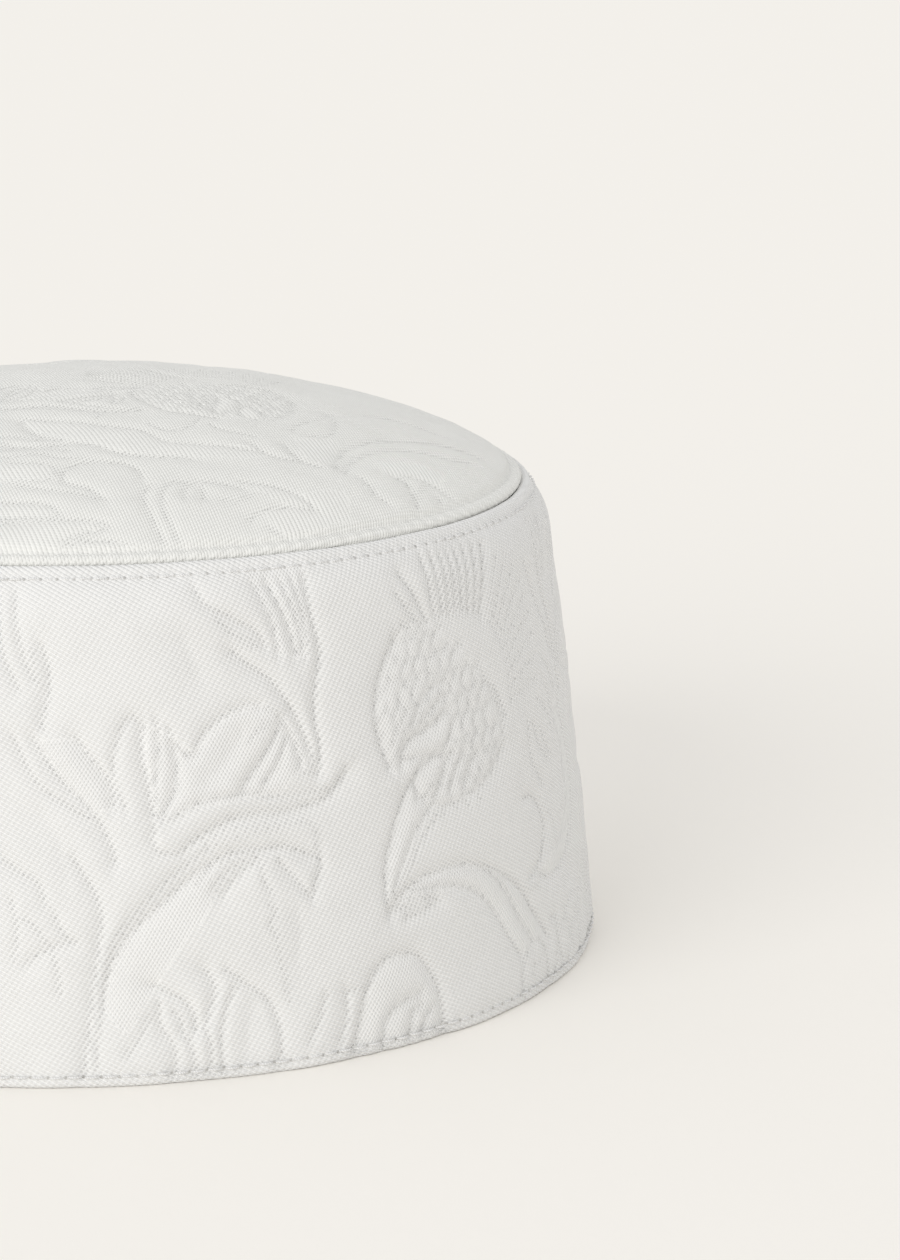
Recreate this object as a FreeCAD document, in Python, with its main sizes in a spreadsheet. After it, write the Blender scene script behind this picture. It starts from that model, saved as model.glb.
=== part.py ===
import FreeCAD, Part
import os

import Sketcher
from FreeCAD import Placement, Rotation, Vector

# Round brimless cap in quilted white cloth, in millimetres.
# It stands on its hem. The origin is the middle of the hem circle, +Z runs up through the crown,
# the front faces -Y and the centre-back seam lies at +Y.
# Every ply is drawn as a closed section beside the Z axis and turned about it.

# The cells of the sheet: lengths in millimetres, leans and slopes in degrees.
SIZES = {
    # outer surface of the band, from the hem up to the crown seam
    "hem_radius": 95.0,
    "hem_lean": 5.04,
    "wall_lean": 7.66,
    "wall_length": 78.07,
    "shoulder_radius": 16.0,
    "seam_lean": 40.5,
    # outer surface of the crown, from its rolled edge to the middle
    "lip_radius": 1.9,
    "lip_sink": 0.6,
    "crown_edge_slope": 34.0,
    "crown_edge_radius": 57.3,
    "crown_mid_slope": 18.8,
    # plies
    "cloth": 1.2,
    "stiffener": 0.8,
    "lining": 0.3,
    "sweatband": 0.8,
    "ply_gap": 0.1,
    # turned and lapped edges
    "seam_allowance": 6.5,
    "hem_turn_up": 14.0,
    "lining_lap": 4.0,
    "lining_edge_drop": 1.0,
    "lining_foot": 8.0,
    "lining_shoulder_lean": 60.0,
    "lining_slack": 1.0,
    "sweatband_height": 20.0,
    "sweatband_foot": 2.0,
    "sweatband_flare": 5.0,
    # centre-back seam
    "back_seam_gap": 0.2,
    "back_allowance": 9.0,
    # rows of topstitching, each sunk in the channel that it draws into the cloth
    "thread": 0.4,
    "seam_stitch_drop": 1.4,
    "hem_stitch_rise": 2.4,
}

DEGREE = "180 / pi"
TOP = "90"
HALF_TURN = "180"
FULL_TURN = 360
TOUCHING = 1e-6

# Straight chords that stand for a bend where it is barely bent, tiny or hidden. Nested plies
# turn at the same angles, which keeps them evenly apart.
WALL_CHORDS = 2
SHOULDER_CHORDS = 2
FOLD_CHORDS = 4
LIP_CHORDS = 5
CROWN_CHORDS = 4
EDGE_CHORDS = 2
DOME_CHORDS = 5


def cell(alias):
    """The expression that reads one cell of the sheet."""
    return f"Sizes.{alias}"


def plus(*terms):
    """Terms added up, in brackets."""
    return "(" + " + ".join(terms) + ")"


def minus(first, *others):
    """The first term less all the others, in brackets."""
    return "(" + " - ".join((first,) + others) + ")"


def half(term):
    """Half of a term."""
    return f"({term} / 2)"


def cosine(angle):
    """Cosine of an expression in degrees."""
    return f"cos({angle} * 1 deg)"


def sine(angle):
    """Sine of an expression in degrees."""
    return f"sin({angle} * 1 deg)"


def part_way(start, end, step, count):
    """The angle of one of several equal steps from a start to an end."""
    return end if step == count else f"({start} + ({end} - {start}) * {step} / {count})"


class Bend:
    """One arc of a cloth surface, seen in section.

    A place on it is given by the angle of the outward normal from the X axis and by the depth
    below the outer surface. A hollow bend has its centre outside the cloth.
    """

    def __init__(self, centre_x, centre_z, radius, hollow=False):
        self.centre_x = centre_x
        self.centre_z = centre_z
        self.radius = radius
        self.hollow = hollow

    def reach(self, depth):
        """Radius of the ply face that lies at this depth."""
        return plus(self.radius, depth) if self.hollow else minus(self.radius, depth)

    def point(self, angle, depth="0", chord=None):
        """The section point at an angle and a depth, as two expressions.

        Where the ply face is a straight chord between two angles, the point lies on that chord.
        """
        sign = "-" if self.hollow else "+"
        reach = self.reach(depth)
        if chord is not None:
            low, high = chord
            from_middle = minus(angle, half(plus(low, high)))
            reach = f"({reach} * {cosine(half(minus(high, low)))} / {cosine(from_middle)})"
        return (
            f"({self.centre_x} {sign} {reach} * {cosine(angle)})",
            f"({self.centre_z} {sign} {reach} * {sine(angle)})",
        )

    def next_bend(self, angle, radius):
        """The bend of another radius that goes on from this one without a kink."""
        x, z = self.point(angle)
        return Bend(f"({x} - {radius} * {cosine(angle)})", f"({z} - {radius} * {sine(angle)})", radius)


class Section:
    """A closed outline beside the Z axis, drawn edge by edge in one direction."""

    def __init__(self, start):
        self.corners = [start]
        self.bends = []

    def line_to(self, corner):
        """A straight edge to the next corner."""
        self.corners.append(corner)
        self.bends.append(None)

    def chords_to(self, bend, start, end, count, depth="0"):
        """Straight edges along a bend at one depth, from one angle to another."""
        for step in range(1, count + 1):
            self.line_to(bend.point(part_way(start, end, step, count), depth))

    def chords_to_axis(self, bend, start, count, depth="0"):
        """The same along a bend centred on the Z axis, from an angle up to its top."""
        for step in range(1, count):
            self.line_to(bend.point(part_way(start, TOP, step, count), depth))
        self.line_to(("0", plus(bend.centre_z, bend.reach(depth))))

    def bend_to(self, bend, corner, depth="0"):
        """An edge along a bend at one depth, to a corner that lies on it."""
        self.corners.append(corner)
        self.bends.append((bend, depth))

    def arc_to(self, bend, angle, depth="0"):
        """An edge along a bend at one depth, to the given angle."""
        self.bend_to(bend, bend.point(angle, depth), depth)

    def arc_to_axis(self, bend, depth="0"):
        """An edge along a bend centred on the Z axis, to its top."""
        self.bend_to(bend, ("0", plus(bend.centre_z, bend.reach(depth))), depth)

    def close(self):
        """The last straight edge, back to the first corner."""
        self.bends.append(None)
        return self


def polygon(*corners):
    """A section with straight edges only."""
    section = Section(corners[0])
    for corner in corners[1:]:
        section.line_to(corner)
    return section.close()


doc = FreeCAD.newDocument("QuiltedCap")
sheet = doc.addObject("Spreadsheet::Sheet", "Sizes")
for row, (alias, value) in enumerate(SIZES.items(), start=1):
    sheet.set(f"A{row}", str(value))
    sheet.setAlias(f"A{row}", alias)
doc.recompute()


def value_of(expression):
    """The number that an expression over the sheet gives now."""
    result = sheet.evalExpression(expression)
    return float(getattr(result, "Value", result))


def edge_between(start, end, bend_at_depth, side):
    """A line, or the arc of a bend at a depth, between two corners."""
    if bend_at_depth is None:
        return Part.LineSegment(start, end)
    bend, depth = bend_at_depth
    centre = Vector(side * value_of(bend.centre_x), value_of(bend.centre_z), 0)
    towards_middle = ((start + end) / 2 - centre).normalize()
    return Part.Arc(start, centre + towards_middle * value_of(bend.reach(depth)), end)


def bind_corner(sketch, edge, end, corner, behind):
    """Tie a corner's distance from the Z axis and its height to their expressions."""
    origin = (-1, 1)
    place = (edge, end)
    for kind, expression, axis, ends in (
            ("DistanceX", corner[0], -2, place + origin if behind else origin + place),
            ("DistanceY", corner[1], -1, origin + place)):
        if expression == "0":
            sketch.addConstraint(Sketcher.Constraint("PointOnObject", edge, end, axis))
        else:
            row = sketch.addConstraint(Sketcher.Constraint(kind, *ends, value_of(expression)))
            sketch.setExpression(f"Constraints[{row}]", expression)


def draw(body, name, section, behind=False):
    """Sketch a section on the body's XZ plane, with every corner and radius bound to the sheet."""
    sketch = body.newObject("Sketcher::SketchObject", name)
    plane = next(item for item in body.Origin.OriginFeatures if item.Role == "XZ_Plane")
    sketch.AttachmentSupport = [(plane, "")]
    sketch.MapMode = "FlatFace"
    side = -1 if behind else 1
    places = [Vector(side * value_of(x), value_of(z), 0) for x, z in section.corners]
    ends = []
    for index, bend_at_depth in enumerate(section.bends):
        start, finish = places[index], places[(index + 1) % len(places)]
        sketch.addGeometry(edge_between(start, finish, bend_at_depth, side), False)
        first = 1 if sketch.getPoint(index, 1).distanceToPoint(start) < TOUCHING else 2
        ends.append((first, 3 - first))
    for index, (first, _) in enumerate(ends):
        before = (index - 1) % len(ends)
        sketch.addConstraint(Sketcher.Constraint("Coincident", before, ends[before][1], index, first))
        bind_corner(sketch, index, first, section.corners[index], behind)
    for index, bend_at_depth in enumerate(section.bends):
        if bend_at_depth is not None:
            bend, depth = bend_at_depth
            radius = bend.reach(depth)
            row = sketch.addConstraint(Sketcher.Constraint("Radius", index, value_of(radius)))
            sketch.setExpression(f"Constraints[{row}]", radius)
    return sketch


def turn(body, kind, name, sketch, angle=None):
    """Turn a section about the Z axis, evenly to both sides of its plane."""
    feature = body.newObject(kind, name)
    feature.Profile = sketch
    feature.ReferenceAxis = (sketch, ["V_Axis"])
    feature.Midplane = True
    feature.Angle = FULL_TURN
    if angle is not None:
        feature.setExpression("Angle", angle)
    return feature


def new_body(label):
    """A sub-part whose section plane faces the front, with its seam behind at +Y."""
    body = doc.addObject("PartDesign::Body", label)
    body.Label = label
    body.Placement = Placement(Vector(0, 0, 0), Rotation(Vector(0, 0, 1), -90))
    return body


def add_turned(body, name, section, angle=None, behind=False):
    """Add a turned ply to a sub-part."""
    turn(body, "PartDesign::Revolution", name, draw(body, f"{name}_section", section, behind), angle)


def cut_turned(body, name, section, angle=None, behind=False):
    """Cut a turned channel or slit out of a sub-part, and see that it took cloth away."""
    doc.recompute()
    before = body.Shape.Volume
    turn(body, "PartDesign::Groove", name, draw(body, f"{name}_section", section, behind), angle)
    doc.recompute()
    if not body.Shape.Volume < before:
        raise ValueError(f"{name} cuts nothing")


# Outer surface of the band: a long, slightly bowed wall and a tight shoulder.
hem_lean = cell("hem_lean")
wall_lean = cell("wall_lean")
seam_lean = cell("seam_lean")
wall_bow = f"({cell('wall_length')} * {DEGREE} / ({wall_lean} - {hem_lean}))"
wall = Bend(
    f"({cell('hem_radius')} - {wall_bow} * {cosine(hem_lean)})",
    f"(0 - {wall_bow} * {sine(hem_lean)})",
    wall_bow,
)
shoulder = wall.next_bend(wall_lean, cell("shoulder_radius"))

# Depths of the ply faces below the band's outer surface, from the outside inwards.
gap = cell("ply_gap")
cloth = cell("cloth")
stiffener_outer = plus(cloth, gap)
stiffener_inner = plus(stiffener_outer, cell("stiffener"))
turned_outer = plus(stiffener_inner, gap)
turned_inner = plus(turned_outer, cloth)
crown_outer = plus(turned_inner, gap)
crown_inner = plus(crown_outer, cloth)
lap_outer = plus(crown_inner, gap)
lap_inner = plus(lap_outer, cell("lining"))
lining_outer = plus(lap_inner, gap)
lining_inner = plus(lining_outer, cell("lining"))


def up_the_wall(length):
    """The wall's normal angle at a length of cloth above the hem."""
    return plus(hem_lean, f"{length} * {DEGREE} / {wall_bow}")


def down_the_shoulder(length, depth="0"):
    """The shoulder's normal angle at a length of ply below the crown-edge fold."""
    return minus(seam_lean, f"{length} * {DEGREE} / {shoulder.reach(depth)}")


def round_the_hem(length):
    """The angle that a length takes round the hem."""
    return f"({length} * {DEGREE} / {cell('hem_radius')})"


# The band is folded round both edges of the stiffener. Its crown-edge fold is half round.
fold_radius = half(turned_inner)
fold = Bend(*shoulder.point(seam_lean, fold_radius), fold_radius)
fold_end = plus(seam_lean, HALF_TURN)
allowance_end = f"max({down_the_shoulder(cell('seam_allowance'), turned_inner)}; {wall_lean})"
slot_foot = up_the_wall(cloth)
wall_chord = (hem_lean, half(plus(hem_lean, wall_lean)))
hidden_knee = half(plus(wall_lean, seam_lean))
lower_chord = (wall_lean, hidden_knee)
upper_chord = (hidden_knee, seam_lean)
turn_up_top = up_the_wall(cell("hem_turn_up"))
turn_up_foot = f"(asin({wall_bow} * {sine(hem_lean)} / {wall.reach(turned_inner)}) / 1 deg)"

# The crown's cloth comes up inside that fold, bends out round it and rolls over into the crown.
crown_edge_lean = minus("90", cell("crown_edge_slope"))
crown_mid_lean = minus("90", cell("crown_mid_slope"))
throat_radius = plus(fold_radius, gap)
throat = Bend(fold.centre_x, fold.centre_z, throat_radius, hollow=True)
lip_offset = minus(plus(cell("lip_radius"), cell("lip_sink")), fold_radius)
lip_span = plus(throat_radius, cell("lip_radius"))
lip_start = minus(seam_lean, f"acos({lip_offset} / {lip_span}) / 1 deg")
throat_knee = minus(seam_lean, f"{HALF_TURN} / {FOLD_CHORDS}")
lip = throat.next_bend(lip_start, cell("lip_radius"))
crown_edge = lip.next_bend(crown_edge_lean, cell("crown_edge_radius"))
crown_mid_x, crown_mid_z = crown_edge.point(crown_mid_lean)
crown_mid_radius = f"({crown_mid_x} / {cosine(crown_mid_lean)})"
crown_mid = Bend("0", f"({crown_mid_z} - {crown_mid_radius} * {sine(crown_mid_lean)})", crown_mid_radius)

# The rows of topstitching, and the clear room that a row's channel leaves round its thread.
thread = cell("thread")
channel_width = plus(thread, gap, gap)
channel_depth = plus(thread, gap)
seam_row = down_the_shoulder(cell("seam_stitch_drop"))
hem_row = up_the_wall(cell("hem_stitch_rise"))


def row_section(bend, middle, width, top, bottom):
    """A four-cornered section across a bend, between two depths."""
    spread = f"{half(width)} * {DEGREE} / {bend.radius}"
    low, high = minus(middle, spread), plus(middle, spread)
    return polygon(
        bend.point(low, top),
        bend.point(high, top),
        bend.point(high, bottom),
        bend.point(low, bottom),
    )


def band_section():
    """The band: wall, crown-edge fold with its allowance, and hem fold with its turn-up."""
    section = Section((cell("hem_radius"), "0"))
    section.chords_to(wall, hem_lean, wall_lean, WALL_CHORDS)
    section.arc_to(shoulder, seam_lean)
    section.chords_to(fold, seam_lean, fold_end, FOLD_CHORDS)
    section.line_to(shoulder.point(hidden_knee, turned_inner))
    section.line_to(shoulder.point(allowance_end, turned_inner, lower_chord))
    section.line_to(shoulder.point(allowance_end, turned_outer, lower_chord))
    section.line_to(shoulder.point(hidden_knee, turned_outer))
    section.line_to(shoulder.point(seam_lean, turned_outer))
    section.line_to(shoulder.point(seam_lean, cloth))
    section.chords_to(shoulder, seam_lean, wall_lean, SHOULDER_CHORDS, cloth)
    section.chords_to(wall, wall_lean, slot_foot, WALL_CHORDS, cloth)
    section.line_to(wall.point(slot_foot, turned_outer))
    section.line_to(wall.point(turn_up_top, turned_outer, wall_chord))
    section.line_to(wall.point(turn_up_top, turned_inner, wall_chord))
    section.line_to((wall.point(turn_up_foot, turned_inner)[0], "0"))
    return section.close()


def back_allowance_section():
    """One ply of the back seam's pressed-open allowance, rooted in the wall and the hem fold."""
    root = half(cloth)
    foot = up_the_wall(root)
    section = Section(wall.point(foot, root))
    section.chords_to(wall, foot, wall_lean, WALL_CHORDS, root)
    section.line_to(wall.point(wall_lean, stiffener_inner))
    section.chords_to(wall, wall_lean, foot, WALL_CHORDS, stiffener_inner)
    return section.close()


def back_slit_section():
    """The line where the band's two ends meet, right through every ply of the band."""
    inner = shoulder.point(seam_lean, lining_inner)[0]
    outer = f"({cell('hem_radius')} + {cloth})"
    top = plus(fold.centre_z, throat_radius)
    return polygon((inner, "0"), (outer, "0"), (outer, top), (inner, top))


def crown_section():
    """The crown: turned-down allowance, throat, rolled lip, edge and middle."""
    section = Section(shoulder.point(allowance_end, crown_outer, lower_chord))
    section.line_to(shoulder.point(hidden_knee, crown_outer))
    section.line_to(shoulder.point(seam_lean, crown_outer))
    section.line_to(throat.point(throat_knee))
    section.line_to(throat.point(lip_start))
    section.chords_to(lip, lip_start, crown_edge_lean, LIP_CHORDS)
    section.arc_to(crown_edge, crown_mid_lean)
    section.arc_to_axis(crown_mid)
    section.line_to(("0", plus(crown_mid.centre_z, crown_mid.reach(cloth))))
    section.chords_to(crown_mid, TOP, crown_mid_lean, CROWN_CHORDS, cloth)
    section.chords_to(crown_edge, crown_mid_lean, crown_edge_lean, EDGE_CHORDS, cloth)
    section.line_to(lip.point(lip_start, cloth))
    section.line_to(throat.point(half(plus(seam_lean, lip_start)), cloth))
    section.line_to(throat.point(seam_lean, cloth))
    section.line_to(shoulder.point(hidden_knee, crown_inner))
    section.line_to(shoulder.point(allowance_end, crown_inner, lower_chord))
    return section.close()


def stiffener_section():
    """The strip that stiffens the band, held in the slot between its two folds."""
    foot = up_the_wall(plus(cloth, gap))
    top = down_the_shoulder(gap, stiffener_inner)
    section = Section(wall.point(foot, stiffener_outer))
    section.chords_to(wall, foot, wall_lean, WALL_CHORDS, stiffener_outer)
    section.line_to(shoulder.point(hidden_knee, stiffener_outer))
    section.line_to(shoulder.point(top, stiffener_outer, upper_chord))
    section.line_to(shoulder.point(top, stiffener_inner, upper_chord))
    section.line_to(shoulder.point(hidden_knee, stiffener_inner))
    section.line_to(shoulder.point(wall_lean, stiffener_inner))
    section.chords_to(wall, wall_lean, foot, WALL_CHORDS, stiffener_inner)
    return section.close()


def crown_lining_section():
    """The lining's top: a lap turned down inside the crown's allowance, and a slack dome."""
    lap_end = down_the_shoulder(cell("lining_lap"), lap_outer)
    shoulder_top = cell("lining_shoulder_lean")
    rim_x, rim_z = shoulder.point(shoulder_top, lap_outer)
    top = minus(plus(crown_mid.centre_z, crown_mid.radius), cloth, cell("lining_slack"))
    rise = minus(top, rim_z)
    radius = f"(({rim_x} * {rim_x} + {rise} * {rise}) / (2 * {rise}))"
    dome = Bend("0", minus(top, radius), radius)
    rim_lean = f"(acos({rim_x} / {radius}) / 1 deg)"
    last_knee = part_way(rim_lean, TOP, 1, DOME_CHORDS)
    section = Section(shoulder.point(lap_end, lap_outer, lower_chord))
    section.line_to(shoulder.point(hidden_knee, lap_outer))
    section.line_to(shoulder.point(seam_lean, lap_outer))
    section.line_to(shoulder.point(shoulder_top, lap_outer))
    section.chords_to_axis(dome, rim_lean, DOME_CHORDS)
    section.line_to(("0", minus(top, cell("lining"))))
    section.chords_to(dome, TOP, last_knee, DOME_CHORDS - 1, cell("lining"))
    section.line_to(shoulder.point(shoulder_top, lap_inner))
    section.line_to(shoulder.point(seam_lean, lap_inner))
    section.line_to(shoulder.point(hidden_knee, lap_inner))
    section.line_to(shoulder.point(lap_end, lap_inner, lower_chord))
    return section.close()


lining_foot = up_the_wall(cell("lining_foot"))
lining_foot_inner = wall.point(lining_foot, plus(crown_outer, cell("lining")), wall_chord)
lining_knee_inner = wall.point(wall_lean, lining_inner)


def band_lining_section():
    """The lining's wall, from behind the sweatband up to its seam with the lining's top."""
    top = down_the_shoulder(cell("lining_edge_drop"), lining_outer)
    section = Section(wall.point(lining_foot, crown_outer, wall_chord))
    section.line_to(wall.point(wall_lean, lining_outer))
    section.line_to(shoulder.point(hidden_knee, lining_outer))
    section.line_to(shoulder.point(top, lining_outer, upper_chord))
    section.line_to(shoulder.point(top, lining_inner, upper_chord))
    section.line_to(shoulder.point(hidden_knee, lining_inner))
    section.line_to(shoulder.point(wall_lean, lining_inner))
    section.line_to(lining_foot_inner)
    return section.close()


def sweatband_section():
    """The sweatband: an upright tape whose sewn edge flares out to the hem's turn-up."""
    height = cell("sweatband_height")
    foot_x, foot_z = lining_foot_inner
    knee_x, knee_z = lining_knee_inner
    lining_x = f"({foot_x} + ({height} - {foot_z}) * ({knee_x} - {foot_x}) / ({knee_z} - {foot_z}))"
    outer_x = minus(lining_x, gap)
    inner_x = minus(outer_x, cell("sweatband"))
    sewn_z = cell("sweatband_foot")
    sewn_outer_x = minus(wall.point(up_the_wall(sewn_z), turned_inner, wall_chord)[0], gap)
    sewn_inner_x = minus(sewn_outer_x, cell("sweatband"))
    flare_z = plus(sewn_z, cell("sweatband_flare"))
    return polygon(
        (outer_x, height),
        (inner_x, height),
        (inner_x, flare_z),
        (sewn_inner_x, sewn_z),
        (sewn_outer_x, sewn_z),
        (outer_x, flare_z),
    )


def seam_row_section(width, top, bottom):
    """Across the row of topstitching below the crown seam."""
    return row_section(shoulder, seam_row, width, top, bottom)


def hem_row_section(width, top, bottom):
    """Across the row of topstitching above the hem."""
    return row_section(wall, hem_row, width, top, bottom)


# Angles of the turned plies that stop at the centre-back seam.
slit_angle = round_the_hem(cell("back_seam_gap"))
up_to_the_seam = f"{FULL_TURN} - {slit_angle}"
allowance_angle = round_the_hem(f"2 * {cell('back_allowance')}")
up_to_the_allowances = f"{FULL_TURN} - {allowance_angle} - {round_the_hem(f'4 * {gap}')}"

band = new_body("band_shell")
add_turned(band, "band_ply", band_section())
add_turned(band, "back_allowances", back_allowance_section(), allowance_angle, behind=True)
cut_turned(band, "back_slit", back_slit_section(), slit_angle, behind=True)
for row_name, section_of_row in (("seam_channel", seam_row_section), ("hem_channel", hem_row_section)):
    cut_turned(band, row_name, section_of_row(channel_width, minus("0", gap), channel_depth))

crown = new_body("crown_shell")
add_turned(crown, "crown_ply", crown_section())

stiffener = new_body("band_stiffener")
add_turned(stiffener, "stiffener_strip", stiffener_section(), up_to_the_allowances)

crown_lining = new_body("crown_lining")
add_turned(crown_lining, "lining_top", crown_lining_section())

band_lining = new_body("band_lining")
add_turned(band_lining, "lining_wall", band_lining_section(), up_to_the_seam)

sweatband = new_body("sweatband")
add_turned(sweatband, "sweatband_tape", sweatband_section(), up_to_the_seam)

crown_topstitch = new_body("crown_topstitch_thread")
add_turned(crown_topstitch, "crown_row", seam_row_section(thread, "0", thread))

hem_topstitch = new_body("hem_topstitch_thread")
add_turned(hem_topstitch, "hem_row", hem_row_section(thread, "0", thread))

doc.recompute()

# Nothing is written unless every object of the document is up to date and every shape is sound.
faults = [item.Name for item in doc.Objects if {"Invalid", "Error"} & set(item.State)]
bodies = [item for item in doc.Objects if item.TypeId == "PartDesign::Body"]
faults += [body.Label for body in bodies if body.Shape.isNull() or not body.Shape.isValid()]
if faults:
    raise ValueError("unsound: " + ", ".join(faults))

os.makedirs("parts", exist_ok=True)
for body in bodies:
    body.Shape.exportStep(f"parts/{body.Label}.step")
    box = body.Shape.BoundBox
    print(f"{body.Label}: {len(body.Shape.Solids)} solid, {body.Shape.Volume:.1f} mm3, "
          f"radius {box.XMax:.2f}, z {box.ZMin:.2f} to {box.ZMax:.2f}")
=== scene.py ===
"""A round, brimless cap in white quilted damask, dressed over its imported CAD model.

The cap stands on its hem at the origin. Its front faces -Y and its centre-back seam lies at +Y.
Cloth is laid out flat in millimetres, drawn on with the curves of the quilting, and turned
about the Z axis along the same section lines as the CAD model. Blender's own units are metres.
"""
import logging
import math
from collections.abc import Iterable, Sequence
from dataclasses import dataclass, field, replace
from enum import Enum

import bpy
import numpy as np
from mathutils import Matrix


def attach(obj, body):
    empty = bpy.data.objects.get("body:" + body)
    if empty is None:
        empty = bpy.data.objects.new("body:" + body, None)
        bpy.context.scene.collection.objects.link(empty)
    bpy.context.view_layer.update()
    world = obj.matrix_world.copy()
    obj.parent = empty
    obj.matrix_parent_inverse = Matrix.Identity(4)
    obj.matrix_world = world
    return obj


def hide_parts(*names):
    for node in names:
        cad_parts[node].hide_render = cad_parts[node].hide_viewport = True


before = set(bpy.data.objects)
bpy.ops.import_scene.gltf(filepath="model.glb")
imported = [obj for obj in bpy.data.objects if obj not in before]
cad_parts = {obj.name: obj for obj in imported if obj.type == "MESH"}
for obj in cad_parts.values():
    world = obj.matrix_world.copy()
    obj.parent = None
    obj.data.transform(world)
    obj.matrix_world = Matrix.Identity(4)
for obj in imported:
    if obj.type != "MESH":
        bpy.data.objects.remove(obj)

MM = 0.001
FULL_TURN = 2.0 * math.pi
BODY = "root"
CLOTH_MAP = "cloth_mm"
CREASE_LAYER = "crease"
FIGURE_LAYER = "figure"
SAME_POINT = 1e-6
ARC_POINTS = 25

logger = logging.getLogger("quilted_cap")

Point = tuple[float, float]
Colour = tuple[float, float, float]


class ClothLine:
    """The line that a cloth follows in section, from one raw edge to the other."""

    def __init__(self, radius: float, height: float) -> None:
        """Start the line.

        Args:
            radius: distance of the first point from the Z axis, in millimetres.
            height: height of the first point, in millimetres.
        """
        self.points: list[Point] = [(radius, height)]
        self.stops: list[float] = [0.0]

    def _add(self, radius: float, height: float) -> None:
        """Add one point where it isn't the last one again.

        Args:
            radius: distance of the point from the Z axis, in millimetres.
            height: its height, in millimetres.
        """
        last = self.points[-1]
        if math.dist(last, (radius, height)) > SAME_POINT:
            self.points.append((radius, height))

    def line_to(self, radius: float, height: float, rings: int) -> "ClothLine":
        """Go straight to a point.

        Args:
            radius: distance of the point from the Z axis, in millimetres.
            height: its height, in millimetres.
            rings: cage rings on this stretch.

        Returns:
            The line itself.
        """
        start = self.length
        self._add(radius, height)
        return self._stop(start, rings)

    def arc(self, centre: Point, radius: float, start: float, end: float, rings: int) -> "ClothLine":
        """Go round an arc, with its angles counted from the outward radius.

        Args:
            centre: centre of the arc in section, in millimetres.
            radius: its radius, in millimetres.
            start: first angle, in degrees.
            end: last angle, in degrees.
            rings: cage rings on this stretch.

        Returns:
            The line itself.
        """
        first = self.length
        for angle in np.radians(np.linspace(start, end, ARC_POINTS)):
            self._add(centre[0] + radius * math.cos(angle), centre[1] + radius * math.sin(angle))
        return self._stop(first, rings)

    def _stop(self, start: float, rings: int) -> "ClothLine":
        """Spread cage rings evenly over the stretch from a length of the line to its end."""
        self.stops += list(np.linspace(start, self.length, rings + 1)[1:])
        return self

    @property
    def length(self) -> float:
        """Length of the line so far, in millimetres."""
        return float(np.linalg.norm(np.diff(np.array(self.points), axis=0), axis=1).sum())

    def at(self, lengths: np.ndarray) -> tuple[np.ndarray, np.ndarray]:
        """Look up places on the line.

        Args:
            lengths: distances along the line, in millimetres.

        Returns:
            Section points and unit normals to the left of travel, both as n by 2 arrays.
        """
        points = np.array(self.points)
        steps = np.linalg.norm(np.diff(points, axis=0), axis=1)
        marks = np.concatenate([[0.0], np.cumsum(steps)])
        place = np.stack([np.interp(lengths, marks, points[:, axis]) for axis in (0, 1)], axis=1)
        tangents = np.gradient(points, marks, axis=0)
        along = np.stack([np.interp(lengths, marks, tangents[:, axis]) for axis in (0, 1)], axis=1)
        along /= np.linalg.norm(along, axis=1, keepdims=True)
        return place, np.stack([along[:, 1], -along[:, 0]], axis=1)


class Crease(Enum):
    """How a quilting line is sewn into the cloth."""

    BOLD = "bold"
    PLAIN = "plain"
    FINE = "fine"
    DOTTED = "dotted"
    SOFT = "soft"


@dataclass(frozen=True)
class CreaseForm:
    """Shape of the cloth beside a quilting line: a sharp line in a wide, soft hollow, in millimetres."""

    line_depth: float
    line_spread: float
    hollow_depth: float
    hollow_spread: float
    step: float = 0.0

    def drop(self, distance: np.ndarray) -> np.ndarray:
        """How far the cloth is sunk at a distance from the line."""
        return (self.line_depth * np.exp(-distance / self.line_spread)
                + self.hollow_depth * np.exp(-distance / self.hollow_spread))


CREASE_FORMS = {
    Crease.BOLD: CreaseForm(0.28, 0.45, 0.85, 2.0, 0.16),
    Crease.PLAIN: CreaseForm(0.24, 0.45, 0.62, 1.6, 0.08),
    Crease.FINE: CreaseForm(0.24, 0.45, 0.26, 1.0),
    Crease.DOTTED: CreaseForm(0.30, 0.55, 0.08, 1.2),
    Crease.SOFT: CreaseForm(0.0, 1.0, 0.60, 3.2),
}
CURVE_STEPS = 6
STEP_SPREAD = 2.6
STEP_EDGE = 0.5
STEP_LIMIT = 0.35
REACH = 8.0
DOT_PITCH = 1.9
DOT_FAINTEST = 0.25
MARK_WIDTH = 0.55
FULL_MARK_DEPTH = 0.3
SHORTEST_STEP = 1e-9


@dataclass(frozen=True)
class Stroke:
    """One quilting line on the flat cloth, in millimetres."""

    points: tuple[Point, ...]
    crease: Crease = Crease.PLAIN

    def curve(self) -> np.ndarray:
        """Run a smooth curve through the points.

        Returns:
            Points along the curve as an n by 2 array.
        """
        knots = np.array(self.points, float)
        if len(knots) < 3:
            return knots
        ends = np.vstack([2 * knots[0] - knots[1], knots, 2 * knots[-1] - knots[-2]])
        steps = np.linspace(0.0, 1.0, CURVE_STEPS + 1)[:-1, None]
        spans = []
        for a, b, c, d in zip(ends, ends[1:], ends[2:], ends[3:]):
            spans.append(0.5 * (2 * b + (c - a) * steps + (2 * a - 5 * b + 4 * c - d) * steps**2
                                + (3 * b - a - 3 * c + d) * steps**3))
        return np.vstack(spans + [knots[-1:]])


def strokes(crease: Crease, *lines: Sequence[Point]) -> tuple[Stroke, ...]:
    """Make several quilting lines that are sewn in one way."""
    return tuple(Stroke(tuple(line), crease) for line in lines)


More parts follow.
